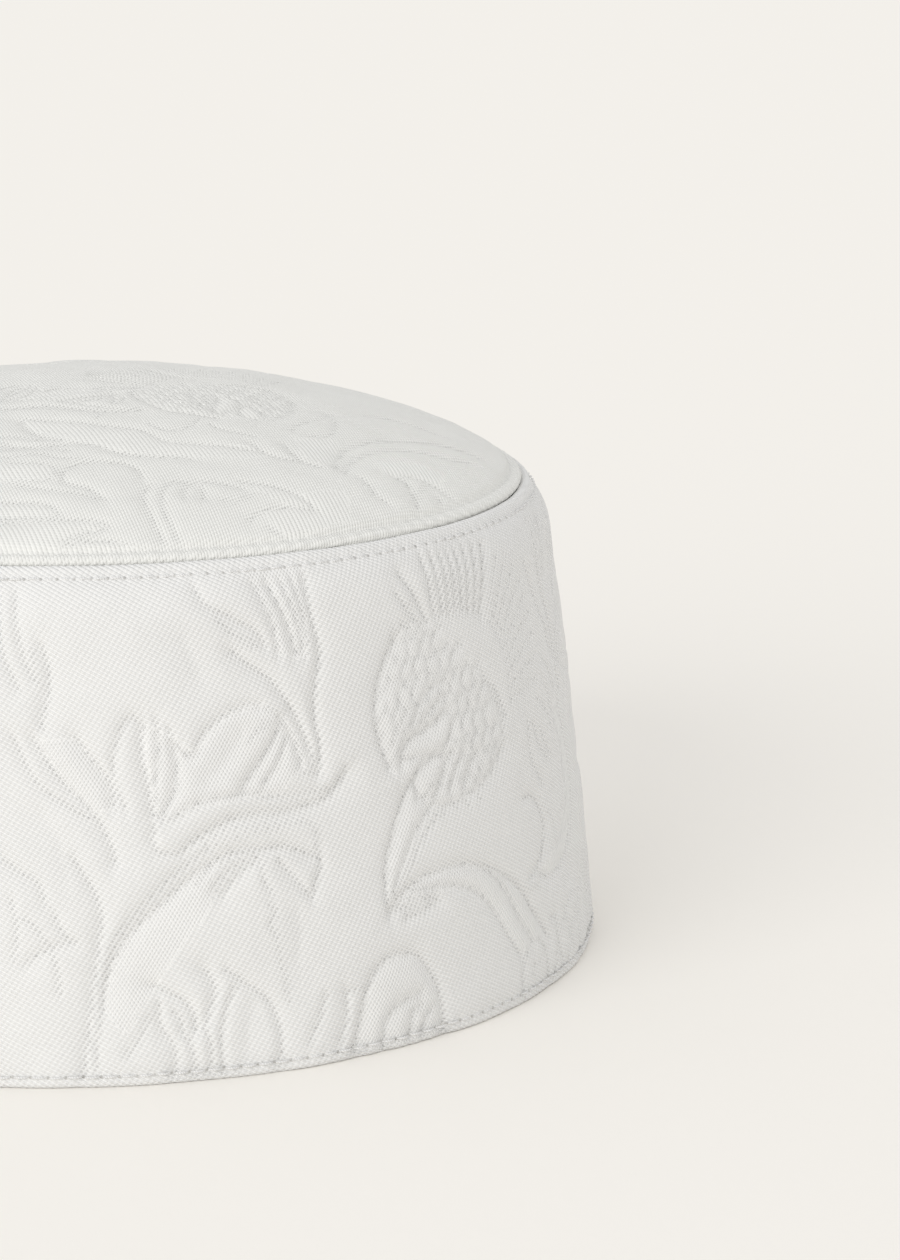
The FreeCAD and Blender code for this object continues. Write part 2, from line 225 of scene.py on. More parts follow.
@dataclass(frozen=True)
class Figure:
    """A group of quilting lines that is drawn once, with the outlines of its satin areas."""

    lines: tuple[Stroke, ...]
    fills: tuple[tuple[Point, ...], ...] = ()
    middle: Point = (0.0, 0.0)


@dataclass(frozen=True)
class Placing:
    """Where a figure lies on a cloth."""

    figure: Figure
    shift: Point = (0.0, 0.0)
    turn: float = 0.0
    size: float = 1.0
    mirrored: bool = False

    def carry(self, points: Iterable[Point]) -> np.ndarray:
        """Take points from the figure to the cloth.

        Args:
            points: places on the figure, in millimetres.

        Returns:
            The same places on the cloth as an n by 2 array.
        """
        local = np.array(list(points), float) - self.figure.middle
        if self.mirrored:
            local[:, 0] *= -1.0
        cosine, sine = math.cos(math.radians(self.turn)), math.sin(math.radians(self.turn))
        turned = local @ np.array([[cosine, sine], [-sine, cosine]])
        return turned * self.size + self.figure.middle + np.array(self.shift)


@dataclass(frozen=True)
class ScaleFill:
    """Overlapping scales that fill the flower head, in rows that sway a little, in millimetres."""

    hook: tuple[Point, ...] = ((-0.4, -2.6), (-1.5, -1.0), (-1.3, 0.8), (0.2, 2.3), (1.7, 2.9))
    row_pitch: float = 3.9
    first_row: float = 1.5
    past_last_row: float = 3.0
    column_pitch: float = 3.2
    row_sway: float = 0.35
    column_sway: float = 0.3
    swell: float = 0.85
    swell_change: float = 0.12
    probe_offset: float = 0.6
    smooth_left_of: float = 70.0
    smooth_rows: Point = (44.0, 56.0)

    def lines(self, outline: Sequence[Point]) -> tuple[Stroke, ...]:
        """Draw the scales inside an outline.

        Args:
            outline: the head's outline on the flat cloth.

        Returns:
            One line for each scale, hooked round its upper left side.
        """
        low, high = np.min(outline, axis=0), np.max(outline, axis=0)
        half = self.column_pitch / 2
        lines = []
        rows = np.arange(low[1] + self.first_row, high[1] + self.past_last_row, self.row_pitch)
        for row, height in enumerate(rows):
            for column in np.arange(low[0] + half + half * (row % 2), high[0], self.column_pitch):
                middle = np.array([column + self.row_sway * math.sin(1.7 * row),
                                   height + self.column_sway * math.cos(column)])
                swell = self.swell + self.swell_change * math.sin(column * 2.1 + row)
                inside = within(np.array([middle + self.probe_offset]), outline)[0]
                smooth_row = self.smooth_rows[0] < middle[1] < self.smooth_rows[1]
                if inside and not (smooth_row and middle[0] < self.smooth_left_of):
                    lines.append(tuple(map(tuple, middle + np.array(self.hook) * swell)))
        return strokes(Crease.FINE, *lines)


def within(places: np.ndarray, outline: Sequence[Point]) -> np.ndarray:
    """Tell which places lie inside an outline.

    Args:
        places: n by 2 array of places.
        outline: corners of the outline in order.

    Returns:
        A truth value for each place.
    """
    corners = np.array(outline, float)
    inside = np.zeros(len(places), bool)
    for (x0, y0), (x1, y1) in zip(corners, np.roll(corners, -1, axis=0)):
        crosses = (y0 > places[:, 1]) != (y1 > places[:, 1])
        if y1 != y0:
            inside ^= crosses & (places[:, 0] < (x1 - x0) * (places[:, 1] - y0) / (y1 - y0) + x0)
    return inside


HEAD_OUTLINE = ((54, 50), (52.3, 56), (52, 60), (53.2, 64.5), (55.2, 68.5), (58, 72), (62, 73.5), (66, 73),
                (70, 70.5), (74, 67), (78, 63.5), (82, 58.5), (84.5, 53), (84, 48), (80, 44), (74, 41.5),
                (67, 41), (61.5, 42.5), (58, 46))

FLOWER_HEAD = Figure(
    strokes(Crease.BOLD,
            [(54, 50), (52.3, 56), (52, 60), (53.2, 64.5), (55.2, 68.5), (57.6, 71.6)],
            [(56.9, 50.3), (57.8, 52.8), (60, 54.2), (62.9, 55), (65.8, 56), (68.8, 57.6)],
            [(60.3, 43.6), (59.9, 46.6), (61.6, 48.7), (64.6, 49.9), (67.6, 50.2)])
    + strokes(Crease.PLAIN,
              [(60, 56.5), (62.5, 60), (66, 62.2), (69, 62.5)], [(62, 56.5), (65, 58.5), (68.8, 60.2)],
              [(57, 50.3), (61, 51), (65, 50.8), (68.5, 52), (70, 55)],
              [(64.8, 44), (66.8, 47.6), (69.6, 50)], [(68, 43.2), (70, 46.6), (72.8, 49.4)],
              [(71.4, 43), (73.4, 46.2), (76, 48.6)],
              [(60.6, 43.6), (64, 43.4), (66.6, 45.6), (67.6, 50.2)],
              [(62, 42.4), (67, 41.2), (73, 41.8), (79, 43.8), (84, 48)])
    + strokes(Crease.FINE,
              [(54.6, 50.6), (55, 54), (57, 57.4), (60, 59.4)],
              [(56, 51.4), (57, 54.4), (59, 56.8), (62, 57.6)],
              [(84, 49), (84.6, 53), (82.4, 58), (79.6, 61.8)], [(81, 60.4), (84, 57.6), (86, 53)])
    + ScaleFill().lines(HEAD_OUTLINE)
    + strokes(Crease.PLAIN,
              [(66, 73.6), (63, 79), (60.4, 82.4)], [(68, 74.4), (67.4, 80), (66.8, 87)],
              [(70.3, 74.4), (70, 80), (69.6, 87)], [(72.2, 74.2), (72.4, 80), (72.2, 87)],
              [(74.3, 74.3), (74.6, 80), (74.4, 87)], [(76.2, 74), (76.8, 80), (77.2, 87)],
              [(78, 73.4), (79, 79), (80, 86)], [(79.9, 72.8), (81.2, 78), (83, 85)],
              [(81.6, 72), (83.4, 77), (86, 84)])
    + strokes(Crease.FINE,
              [(64.4, 73), (61, 76.4), (58.6, 79.6)], [(69.2, 73.6), (68.6, 78), (68.2, 81)],
              [(71.2, 73.6), (71.2, 78), (71, 81)], [(73.2, 73.6), (73.6, 78), (73.4, 81)],
              [(75.2, 73.4), (75.8, 78), (75.8, 81)], [(77.2, 73), (78, 78), (78.4, 80)],
              [(56.4, 72), (57.2, 73.6), (58.6, 72.6), (59.6, 74.2), (61, 73), (62.4, 74.6),
               (63.8, 73.2)])
    + strokes(Crease.DOTTED,
              [(83, 71), (86, 76), (89.6, 82)], [(84.4, 70), (88, 75), (92.6, 81)],
              [(85.6, 68.6), (90, 73.6), (95.4, 79)], [(86.6, 67), (91.4, 71.4), (98, 76.4)],
              [(87.4, 65), (93, 69), (99.6, 73)], [(88, 62.8), (94, 66.2), (101, 69.4)],
              [(88.4, 60.4), (94.6, 63), (101.4, 65.4)], [(88.6, 58), (94.6, 59.8), (101, 61)],
              [(88.4, 55.6), (94, 56.6), (100, 57)], [(62, 75), (60.4, 77.6)],
              [(60.6, 76), (62.6, 78.4)]),
    (HEAD_OUTLINE,),
    (68.0, 58.0))

CALYX = Figure(
    strokes(Crease.BOLD,
            [(51.6, 25), (51.5, 29), (52.2, 34), (54.2, 39), (56.6, 43.4), (59, 46.8)],
            [(52, 25), (55, 27.6), (59, 29.4), (64, 30.2), (70, 30), (75.6, 28.4), (81.6, 25.2),
             (87, 20.8), (91.6, 15), (95.6, 10.4)])
    + strokes(Crease.PLAIN,
              [(52.4, 25.6), (54, 30), (57, 35), (60.4, 39.2), (64.4, 42.2)],
              [(53, 25.4), (57, 27), (62, 27.4), (68, 26.4), (73.6, 23.6), (78, 19), (81.2, 14),
               (84.6, 9.6)], [(53.4, 25), (58, 25.4), (62.6, 26.2)], [(55.4, 23.4), (60, 24), (63, 25)],
              [(73, 29.2), (77.6, 26.2), (82, 21.6), (85.4, 16), (89, 11)])
    + strokes(Crease.FINE,
              [(53.6, 27), (56.8, 32), (60.6, 36.6), (65, 40)], [(84, 24), (88, 21), (93, 20.4)]),
    (((51.6, 25), (52.2, 34), (56.6, 43.4), (59, 46.8), (64.4, 42.2), (57, 35), (53, 27)),
     ((52, 25), (59, 29.4), (70, 30), (81.6, 25.2), (91.6, 15), (95, 10), (85, 10), (78, 19), (68, 26.4),
      (57, 27))),
    (70.0, 30.0))

ACANTHUS = Figure(
    strokes(Crease.BOLD,
            [(8.4, 62), (8, 57.4), (8.8, 52.6), (9.8, 46.6)],
            [(13.4, 58.6), (14, 54), (13.2, 50.2), (11, 46)],
            [(25, 50.2), (28, 53.8), (31, 57.4), (33.2, 61.4)],
            [(14.2, 40.4), (17.8, 42.9), (22.3, 44.9), (27, 45.6), (32, 45.4), (37.8, 46), (41.4, 47.2),
             (44.8, 50.4)])
    + strokes(Crease.PLAIN,
              [(2.8, 56), (4.4, 61), (6.3, 63.4), (8.4, 62)],
              [(10.6, 62.6), (10.8, 57), (10.2, 52), (10.2, 46.6)],
              [(12.8, 61), (14.4, 57.8), (16, 56.3), (17.2, 57), (18.9, 60), (22.3, 62.6), (26.3, 64),
               (29.2, 63.8)], [(29.2, 50.4), (32, 53.8), (33.6, 57.6), (34, 59.8)],
              [(34.2, 59), (35.6, 56), (36.4, 53)], [(36.9, 59), (38, 56.2), (38.4, 53.4)],
              [(12, 45.6), (16.6, 48), (21.2, 48.9), (26.3, 49), (32.6, 48), (37.8, 48), (42.3, 48.6),
               (45, 51.4)], [(10, 45), (9.4, 42.6), (10.4, 40.6), (13.6, 40)],
              [(3, 56), (3.4, 52), (5, 48)])
    + strokes(Crease.FINE,
              [(26.4, 58), (28.6, 59.6), (30.4, 61)], [(35.6, 52.6), (37.6, 51.2), (39.4, 52.8)],
              [(29.4, 63.8), (32.4, 62), (33.6, 60)])
    + strokes(Crease.SOFT,
              [(19, 52), (22.6, 55.4), (25.6, 59.4)])
    + strokes(Crease.DOTTED,
              [(18, 42), (23, 43.6), (29, 43.8), (35, 43.2)], [(20, 40.9), (26, 42.4), (32, 42.4)],
              [(36, 43.6), (38.4, 41.4), (38, 39)]),
    (((8.4, 62), (13.4, 60), (17, 57), (24, 63.4), (30, 63.6), (34, 61), (38.4, 54), (32, 48.6), (17, 48),
      (10, 46)),),
    (20.0, 52.0))

STEM = Figure(
    strokes(Crease.BOLD,
            [(-4, 40), (-1.6, 36), (0, 33), (0.5, 29), (0, 25), (-0.9, 19), (-1.8, 11), (-2.8, 3)],
            [(0.3, 14), (0.9, 18.6), (2.9, 23.7), (6.3, 28), (9.8, 31), (13.2, 33.9), (16.6, 36.4),
             (20, 38.4), (23.6, 39.6), (27.6, 39.7), (33, 39.2), (37.8, 37.2)])
    + strokes(Crease.PLAIN,
              [(0.4, 19.4), (2.3, 25.2), (5.2, 29.3), (8.6, 32.6), (12, 35.8), (15.5, 38.4), (19, 40.6)],
              [(-1, 4), (-0.6, 9), (0.2, 14)],
              [(19.4, 32.9), (20, 34.4), (22.3, 36.6), (25, 38), (26.8, 38.5)],
              [(20.8, 32.3), (22.6, 34.5), (25.1, 36.6), (27.2, 37.8)],
              [(31.2, 37), (34, 33.5), (36.7, 30)], [(36.7, 30), (38, 33), (39, 35.9), (38.6, 38)])
    + strokes(Crease.FINE,
              [(28.1, 37.4), (27.9, 36), (28.5, 33.5), (29.5, 31.9)],
              [(29.1, 29.9), (30.1, 28.5), (28.9, 26.4), (30.2, 24.5)],
              [(16.4, 34.7), (19.3, 37.2), (22.8, 38.9)])
    + strokes(Crease.DOTTED,
              [(30, 24), (30.3, 20.6), (31.2, 16.6), (31.5, 13)],
              [(22.4, 45.9), (30.3, 46.2), (35.5, 45.4)]),
    (((0.5, 14), (3, 24), (10, 31.4), (20, 38.6), (19, 31), (12, 22), (4, 10)),),
    (16.0, 26.0))

FERN = Figure(
    strokes(Crease.BOLD,
            [(8.6, 18), (12, 16.2), (14.4, 14.3), (15.7, 11.6), (15.6, 9.4)],
            [(17.6, 19.8), (19, 17.2), (18.7, 14.2), (17.2, 10.6)])
    + strokes(Crease.PLAIN,
              [(21, 19.6), (23.6, 17.4), (27.2, 14.5), (29.2, 11.4), (30.2, 6.6), (29.8, 2)],
              [(9.8, 14.6), (9.6, 11.8), (10.6, 9)], [(12.2, 13), (13.4, 11.4), (13.2, 9.2)],
              [(20, 2), (19.8, 8), (20.8, 13), (22.4, 16.4)], [(11, 9), (12.2, 6.2), (12, 2)],
              [(14.2, 8.6), (15.2, 5.6), (15.6, 2)], [(17, 10), (18, 7), (18.2, 2)],
              [(42.3, 13), (45, 12.7)], [(42.4, 13), (42.2, 8.4), (40.8, 4)])
    + strokes(Crease.FINE,
              [(35, 5), (37, 9), (38.4, 13)], [(4, 6), (6.4, 9), (8, 12.6)])
    + strokes(Crease.SOFT,
              [(24, 4), (24.6, 9), (25.4, 13)], [(33.6, 20), (34.4, 24), (34, 28)]),
    (),
    (18.0, 12.0))

ARCH_PETAL = Figure(
    strokes(Crease.BOLD,
            [(43.4, 2), (45, 8), (46.6, 13), (48.6, 15.7), (51.5, 17.3), (55, 17.3), (57.8, 16),
             (60, 13.2), (61.8, 9.8), (62.4, 5.8), (62.6, 1)])
    + strokes(Crease.PLAIN,
              [(49.2, 1), (49.7, 5.4), (52, 8), (55, 9), (58, 9.6)], [(54.6, 2), (55.6, 6), (57.4, 7.4)],
              [(57.4, 2), (58.4, 5), (60, 6.4)]),
    (((43.4, 2), (45, 8), (48.6, 15.7), (55, 17.3), (60, 13.2), (62.4, 5.8), (62.6, 1)),),
    (53.0, 9.0))

PLUME = Figure(
    strokes(Crease.BOLD,
            [(31.5, 87), (33.8, 81.2), (35.6, 77), (36.8, 72.2)],
            [(24.6, 73.4), (28, 70.6), (31.5, 68), (34.4, 64), (36.6, 60), (38.4, 55)],
            [(40, 87), (40, 80), (41, 75), (41.6, 71.4), (40.6, 68), (39.8, 64), (39.7, 59.4),
             (40.3, 55.8), (39.8, 51)])
    + strokes(Crease.PLAIN,
              [(28.8, 87), (30.8, 82), (32.6, 77.4), (33.4, 72)],
              [(34.3, 87), (35.6, 82.4), (37.3, 77.6), (38.2, 71)],
              [(36.8, 87), (38, 81), (38.8, 76), (38.6, 71.4)],
              [(18, 86.6), (19, 83.4), (21, 81), (25, 79.4)],
              [(20.4, 81.4), (25.8, 78.4), (29.2, 76.4), (31, 73.8)])
    + strokes(Crease.FINE,
              [(24, 72.6), (26.6, 74.4), (29.6, 73.6)], [(22, 79), (25, 76.2), (28.6, 74.8)])
    + strokes(Crease.SOFT,
              [(16, 75.6), (17.4, 72.6), (18.6, 69.6)]),
    (((28.8, 87), (31, 81), (33.4, 72), (38.4, 71), (40, 80), (40, 87)),),
    (32.0, 70.0))

LONG_LEAVES = Figure(
    strokes(Crease.BOLD,
            [(-3, 60), (-1, 57.2), (1.2, 54.4), (2.7, 51.6), (3, 48.4)],
            [(-8.8, 75.4), (-7.7, 72), (-7.7, 68), (-9, 62)],
            [(-10.2, 60), (-8, 56), (-4, 51.2), (-0.4, 47.4), (1.6, 44), (2.8, 41), (3, 39)])
    + strokes(Crease.PLAIN,
              [(-14, 60.6), (-11, 54.4), (-8, 51), (-4.6, 48.6), (-1.4, 46.6)],
              [(-13.6, 87), (-13.4, 80), (-12, 73.6), (-10.2, 70)],
              [(-16.6, 87), (-16.4, 80), (-15.6, 74), (-13, 68.4)],
              [(-16, 40), (-12.8, 37.6), (-9.8, 35.6), (-8.6, 32)], [(-12, 22), (-8.6, 24.6), (-4, 26)],
              [(-7.4, 31), (-6, 27.6), (-3.6, 25.6)])
    + strokes(Crease.FINE,
              [(-10.6, 75), (-10.4, 72), (-9.4, 69)], [(-12, 30), (-9.4, 27), (-7, 22), (-6.6, 17)],
              [(-14.4, 33), (-13.4, 28), (-14, 23)])
    + strokes(Crease.SOFT,
              [(-9, 47), (-6, 42), (-5, 37)]),
    (((-10.2, 60), (-4, 51.2), (-0.4, 47.4), (3, 48.4), (1.2, 54.4), (-3, 60)),),
    (-5.0, 50.0))

SCROLL = Figure(
    strokes(Crease.PLAIN,
            [(112, 50), (113.6, 44), (114.8, 38), (114.4, 33), (112, 27.6), (108, 23.4), (103.4, 21.2),
             (98.6, 20.6), (94, 22)],
            [(90.2, 37.2), (93.6, 36.6), (96.2, 34.4), (97.6, 30.4), (96.4, 26.4), (93.4, 23.6),
             (90, 22.4)])
    + strokes(Crease.FINE,
              [(94.4, 50.4), (93.8, 47), (94.4, 43), (96.6, 40), (98.6, 38)],
              [(96.6, 49), (98.4, 45), (101.6, 42)], [(99.6, 48), (101.4, 44.4), (104, 42)],
              [(107, 50), (109.4, 44), (110.4, 38), (109.6, 32), (106, 27.4), (101.6, 25.4)],
              [(84.4, 2), (84.6, 7), (87.4, 10.4), (91, 10.6), (93.6, 8), (94.6, 2)],
              [(97.4, 3), (99.4, 8), (103, 12), (107.6, 14.6)], [(103, 3), (106, 8), (110.6, 11.6)],
              [(104, 60), (107.4, 57), (109.6, 53)], [(101, 78), (104, 72), (107, 67), (111.4, 63)])
    + strokes(Crease.DOTTED,
              [(88, 3), (88.6, 6.4), (91, 7)], [(103, 56), (105.4, 53.6), (106.4, 50)],
              [(106, 80), (108.4, 75), (112, 71)], [(100, 53), (103.4, 50.4), (105.6, 46)],
              [(98, 33.6), (101, 31), (102, 28)]),
    (((112, 50), (114.8, 38), (112, 27.6), (103.4, 21.2), (94, 22), (101.6, 25.4), (109.6, 32),
      (107, 50)),),
    (103.0, 36.0))


@dataclass(frozen=True)
class Relief:
    """What the pattern does to each place of a cloth."""

    height: np.ndarray
    crease: np.ndarray
    figure: np.ndarray


class Pattern:
    """Figures laid out on a cloth."""

    def __init__(self, placings: Sequence[Placing]) -> None:
        """Lay the figures out.

        Args:
            placings: the figures with their places.
        """
        self.lines = [(placing.carry(line.curve()), CREASE_FORMS[line.crease], line.crease)
                      for placing in placings for line in placing.figure.lines]
        self.fills = [placing.carry(fill) for placing in placings for fill in placing.figure.fills]

    def press(self, places: np.ndarray) -> Relief:
        """Quilt the cloth at some places.

        Args:
            places: n by 2 array of places on the flat cloth, in millimetres.

        Returns:
            Height of the cloth, share of crease and share of satin at each place.
        """
        sunk = np.zeros(len(places))
        stepped = np.zeros(len(places))
        crease = np.zeros(len(places))
        figure = np.zeros(len(places))
        for curve, form, kind in self.lines:
            near = np.all((places > curve.min(axis=0) - REACH) & (places < curve.max(axis=0) + REACH), axis=1)
            if not near.any():
                continue
            distance, side, run = distance_to(places[near], curve)
            strength = np.ones(len(distance))
            if kind is Crease.DOTTED:
                strength = DOT_FAINTEST + (1.0 - DOT_FAINTEST) * np.cos(math.pi * run / DOT_PITCH) ** 2
            sunk[near] = np.maximum(sunk[near], strength * form.drop(distance))
            fade = np.exp(-distance / STEP_SPREAD) * np.tanh(distance / STEP_EDGE)
            stepped[near] += form.step * side * fade
            if kind is not Crease.SOFT:
                fullness = min(1.0, form.line_depth / FULL_MARK_DEPTH)
                mark = strength * np.exp(-((distance / MARK_WIDTH) ** 2)) * fullness
                crease[near] = np.maximum(crease[near], mark)
        for fill in self.fills:
            near = np.all((places > fill.min(axis=0) - 1) & (places < fill.max(axis=0) + 1), axis=1)
            if near.any():
                figure[near] = np.maximum(figure[near], within(places[near], fill).astype(float))
        return Relief(np.clip(stepped, -STEP_LIMIT, STEP_LIMIT) - sunk, crease, figure)


def distance_to(places: np.ndarray, curve: np.ndarray) -> tuple[np.ndarray, np.ndarray, np.ndarray]:
    """Measure from places to a curve.

    Args:
        places: n by 2 array of places.
        curve: m by 2 array of points along the curve.

    Returns:
        For each place its distance, the side of the curve as 1 or -1, and the run along the curve.
    """
    best = np.full(len(places), np.inf)
    side = np.ones(len(places))
    run = np.zeros(len(places))
    gone = 0.0
    for start, end in zip(curve, curve[1:]):
        way = end - start
        length = float(np.hypot(*way))
        if length < SHORTEST_STEP:
            continue
        offset = places - start
        share = np.clip(offset @ way / length**2, 0.0, 1.0)
        distance = np.linalg.norm(offset - share[:, None] * way, axis=1)
        closer = distance < best
        best[closer] = distance[closer]
        side[closer] = np.sign(way[0] * offset[closer, 1] - way[1] * offset[closer, 0])
        run[closer] = gone + share[closer] * length
        gone += length
    return best, side, run


@dataclass(frozen=True)
class SlowWaves:
    """Slow, shallow waves of a cloth: their random seed, typical length and typical height in millimetres."""

    seed: int
    reach: float
    height: float
    count: int = 9
    shortest: float = 0.7
    longest: float = 1.6

    def over(self, places: np.ndarray) -> np.ndarray:
        """Lay the waves over some places.

        Args:
            places: n by k array of places, in millimetres.

        Returns:
            Height of the waves at each place.
        """
        source = np.random.default_rng(self.seed)
        total = np.zeros(len(places))
        for _ in range(self.count):
            way = source.normal(size=places.shape[1])
            pitch = self.reach * source.uniform(self.shortest, self.longest)
            way *= FULL_TURN / (pitch * np.linalg.norm(way))
            total += np.sin(places @ way + source.uniform(0.0, FULL_TURN))
        return self.height * total / math.sqrt(self.count)


def ramp(values: np.ndarray, start: float, end: float) -> np.ndarray:
    """Go evenly from 0 at the start to 1 at the end, whichever of the two is larger."""
    return np.clip((values - start) / (end - start), 0.0, 1.0)


@dataclass(frozen=True)
class Ridge:
    """A smooth ridge or valley along the cloth: where it lies, how wide and how high, in millimetres."""

    place: float
    width: float
    height: float

    def over(self, values: np.ndarray) -> np.ndarray:
        """Height of the ridge at some distances."""
        return self.height * np.exp(-(((values - self.place) / self.width) ** 2))


class Bench:
    """A material's node tree, with short ways to add and join nodes."""

    def __init__(self, name: str) -> None:
        """Make an empty material.

        Args:
            name: name of the material.
        """
        self.material = bpy.data.materials.new(name)
        self.material.use_nodes = True
        self.nodes = self.material.node_tree.nodes
        self.links = self.material.node_tree.links
        self.nodes.clear()
        self.shader = self.nodes.new("ShaderNodeBsdfPrincipled")
        output = self.nodes.new("ShaderNodeOutputMaterial")
        self.links.new(self.shader.outputs["BSDF"], output.inputs["Surface"])

    def feed(self, socket: bpy.types.NodeSocket, value: object) -> None:
        """Join an output to a socket, or set the socket to a plain value.

        Args:
            socket: the input to serve.
            value: a node's output, or a plain value.
        """
        if isinstance(value, bpy.types.NodeSocket):
            self.links.new(value, socket)
        else:
            socket.default_value = value

    def sum_of(self, operation: str, *values: object) -> bpy.types.NodeSocket:
        """Add a Math node.

        Args:
            operation: what the node works out.
            values: outputs or plain numbers for its inputs.

        Returns:
            The node's output.
        """
        node = self.nodes.new("ShaderNodeMath")
        node.operation = operation
        for socket, value in zip(node.inputs, values):
            self.feed(socket, value)
        return node.outputs[0]

    def place(self) -> tuple[bpy.types.NodeSocket, bpy.types.NodeSocket]:
        """Read the cloth map.

        Returns:
            Sockets in millimetres along and across the cloth.
        """
        node = self.nodes.new("ShaderNodeUVMap")
        node.uv_map = CLOTH_MAP
        split = self.nodes.new("ShaderNodeSeparateXYZ")
        self.links.new(node.outputs["UV"], split.inputs[0])
        return split.outputs["X"], split.outputs["Y"]

    def layer(self, name: str) -> bpy.types.NodeSocket:
        """Read one number that the mesh carries at its points.

        Args:
            name: name of the layer.

        Returns:
            The number's socket.
        """
        node = self.nodes.new("ShaderNodeAttribute")
        node.attribute_name = name
        return node.outputs["Fac"]

    def wave(self, x: object, y: object, pitch: float, lean: float,
             phase: object = 0.0) -> bpy.types.NodeSocket:
        """Straight waves over the cloth.

        Args:
            x: place along the cloth.
            y: place across it.
            pitch: distance from wave to wave, in millimetres.
            lean: direction of travel, in degrees from the cloth's length.
            phase: shift of the waves, in radians.

        Returns:
            A socket from -1 to 1.
        """
        rate = FULL_TURN / pitch
        along = self.sum_of("MULTIPLY", x, rate * math.cos(math.radians(lean)))
        across = self.sum_of("MULTIPLY_ADD", y, rate * math.sin(math.radians(lean)), along)
        return self.sum_of("SINE", self.sum_of("ADD", across, phase))

    def noise(self, vector: bpy.types.NodeSocket, scale: float, detail: float = 2.0) -> bpy.types.NodeSocket:
        """Even noise over a place.

        Args:
            vector: the place.
            scale: how fine the noise is, per metre.
            detail: how many finer layers it has.

        Returns:
            A socket from 0 to 1.
        """
        node = self.nodes.new("ShaderNodeTexNoise")
        self.feed(node.inputs["Vector"], vector)
        node.inputs["Scale"].default_value = scale
        node.inputs["Detail"].default_value = detail
        return node.outputs["Fac"]

    def spot(self) -> bpy.types.NodeSocket:
        """The place on the piece, in metres."""
        return self.nodes.new("ShaderNodeTexCoord").outputs["Object"]

    def mix(self, share: object, first: object, second: object) -> bpy.types.NodeSocket:
        """Blend two colours.

        Args:
            share: share of the second colour, as a socket or number.
            first: a socket or a plain colour.
            second: a socket or a plain colour.

        Returns:
            The blended colour.
        """
        node = self.nodes.new("ShaderNodeMix")
        node.data_type = "RGBA"
        self.feed(node.inputs["Factor"], share)
        self.feed(node.inputs["A"], first if isinstance(first, bpy.types.NodeSocket) else (*first, 1.0))
        self.feed(node.inputs["B"], second if isinstance(second, bpy.types.NodeSocket) else (*second, 1.0))
        return node.outputs["Result"]

    def blend(self, share: object, first: object, second: object) -> bpy.types.NodeSocket:
        """Blend two numbers.

        Args:
            share: share of the second number, as a socket or number.
            first: a socket or a plain number.
            second: a socket or a plain number.

        Returns:
            The blended number.
        """
        node = self.nodes.new("ShaderNodeMix")
        self.feed(node.inputs["Factor"], share)
        self.feed(node.inputs["A"], first)
        self.feed(node.inputs["B"], second)
        return node.outputs["Result"]

    def bump(self, height: bpy.types.NodeSocket, depth: float) -> None:
        """Raise the surface.

        Args:
            height: the relief, with 1 as its full depth.
            depth: that full depth, in millimetres.
        """
        node = self.nodes.new("ShaderNodeBump")
        node.inputs["Strength"].default_value = 1.0
        node.inputs["Distance"].default_value = depth * MM
        self.feed(node.inputs["Height"], height)
        self.feed(self.shader.inputs["Normal"], node.outputs["Normal"])


BAND_RADIUS = 91.0
PATTERN_REPEAT = FULL_TURN * BAND_RADIUS / 3
REPEAT_START = -18.0
CLOSEST_TURN = math.radians(35.0)
SMALLEST_RING = 1e-7


@dataclass(frozen=True)
class StitchRow:
    """A row of topstitching that runs round the band, and how it draws the cloth in, in millimetres."""

    run: float
    pitch: float
    count: int
    draw: float = 0.34
    draw_width: float = 0.95
    hole_share: float = 0.28
    ease: float = 0.16
    ease_width: float = 2.6
    ease_change: float = 0.4
    ease_waves: int = 37
    ease_start: float = 1.3

    def pull(self, turns: np.ndarray, runs: np.ndarray) -> np.ndarray:
        """How far the row draws the cloth in.

        Args:
            turns: turns from the front, in radians.
            runs: distances up the cloth from the hem, in millimetres.

        Returns:
            The draw at each place, in millimetres.
        """
        holes = 1.0 - self.hole_share + self.hole_share * np.cos(turns * self.count)
        ease = 1.0 - self.ease_change + self.ease_change * np.sin(turns * self.ease_waves + self.ease_start)
        return (Ridge(self.run, self.draw_width, self.draw).over(runs) * holes
                + Ridge(self.run, self.ease_width, self.ease).over(runs) * ease)


@dataclass(frozen=True)
class WeaveLine:
    """One family of lines in a weave: pitch in millimetres, way across it in degrees, and share."""

    pitch: float
    lean: float
    share: float


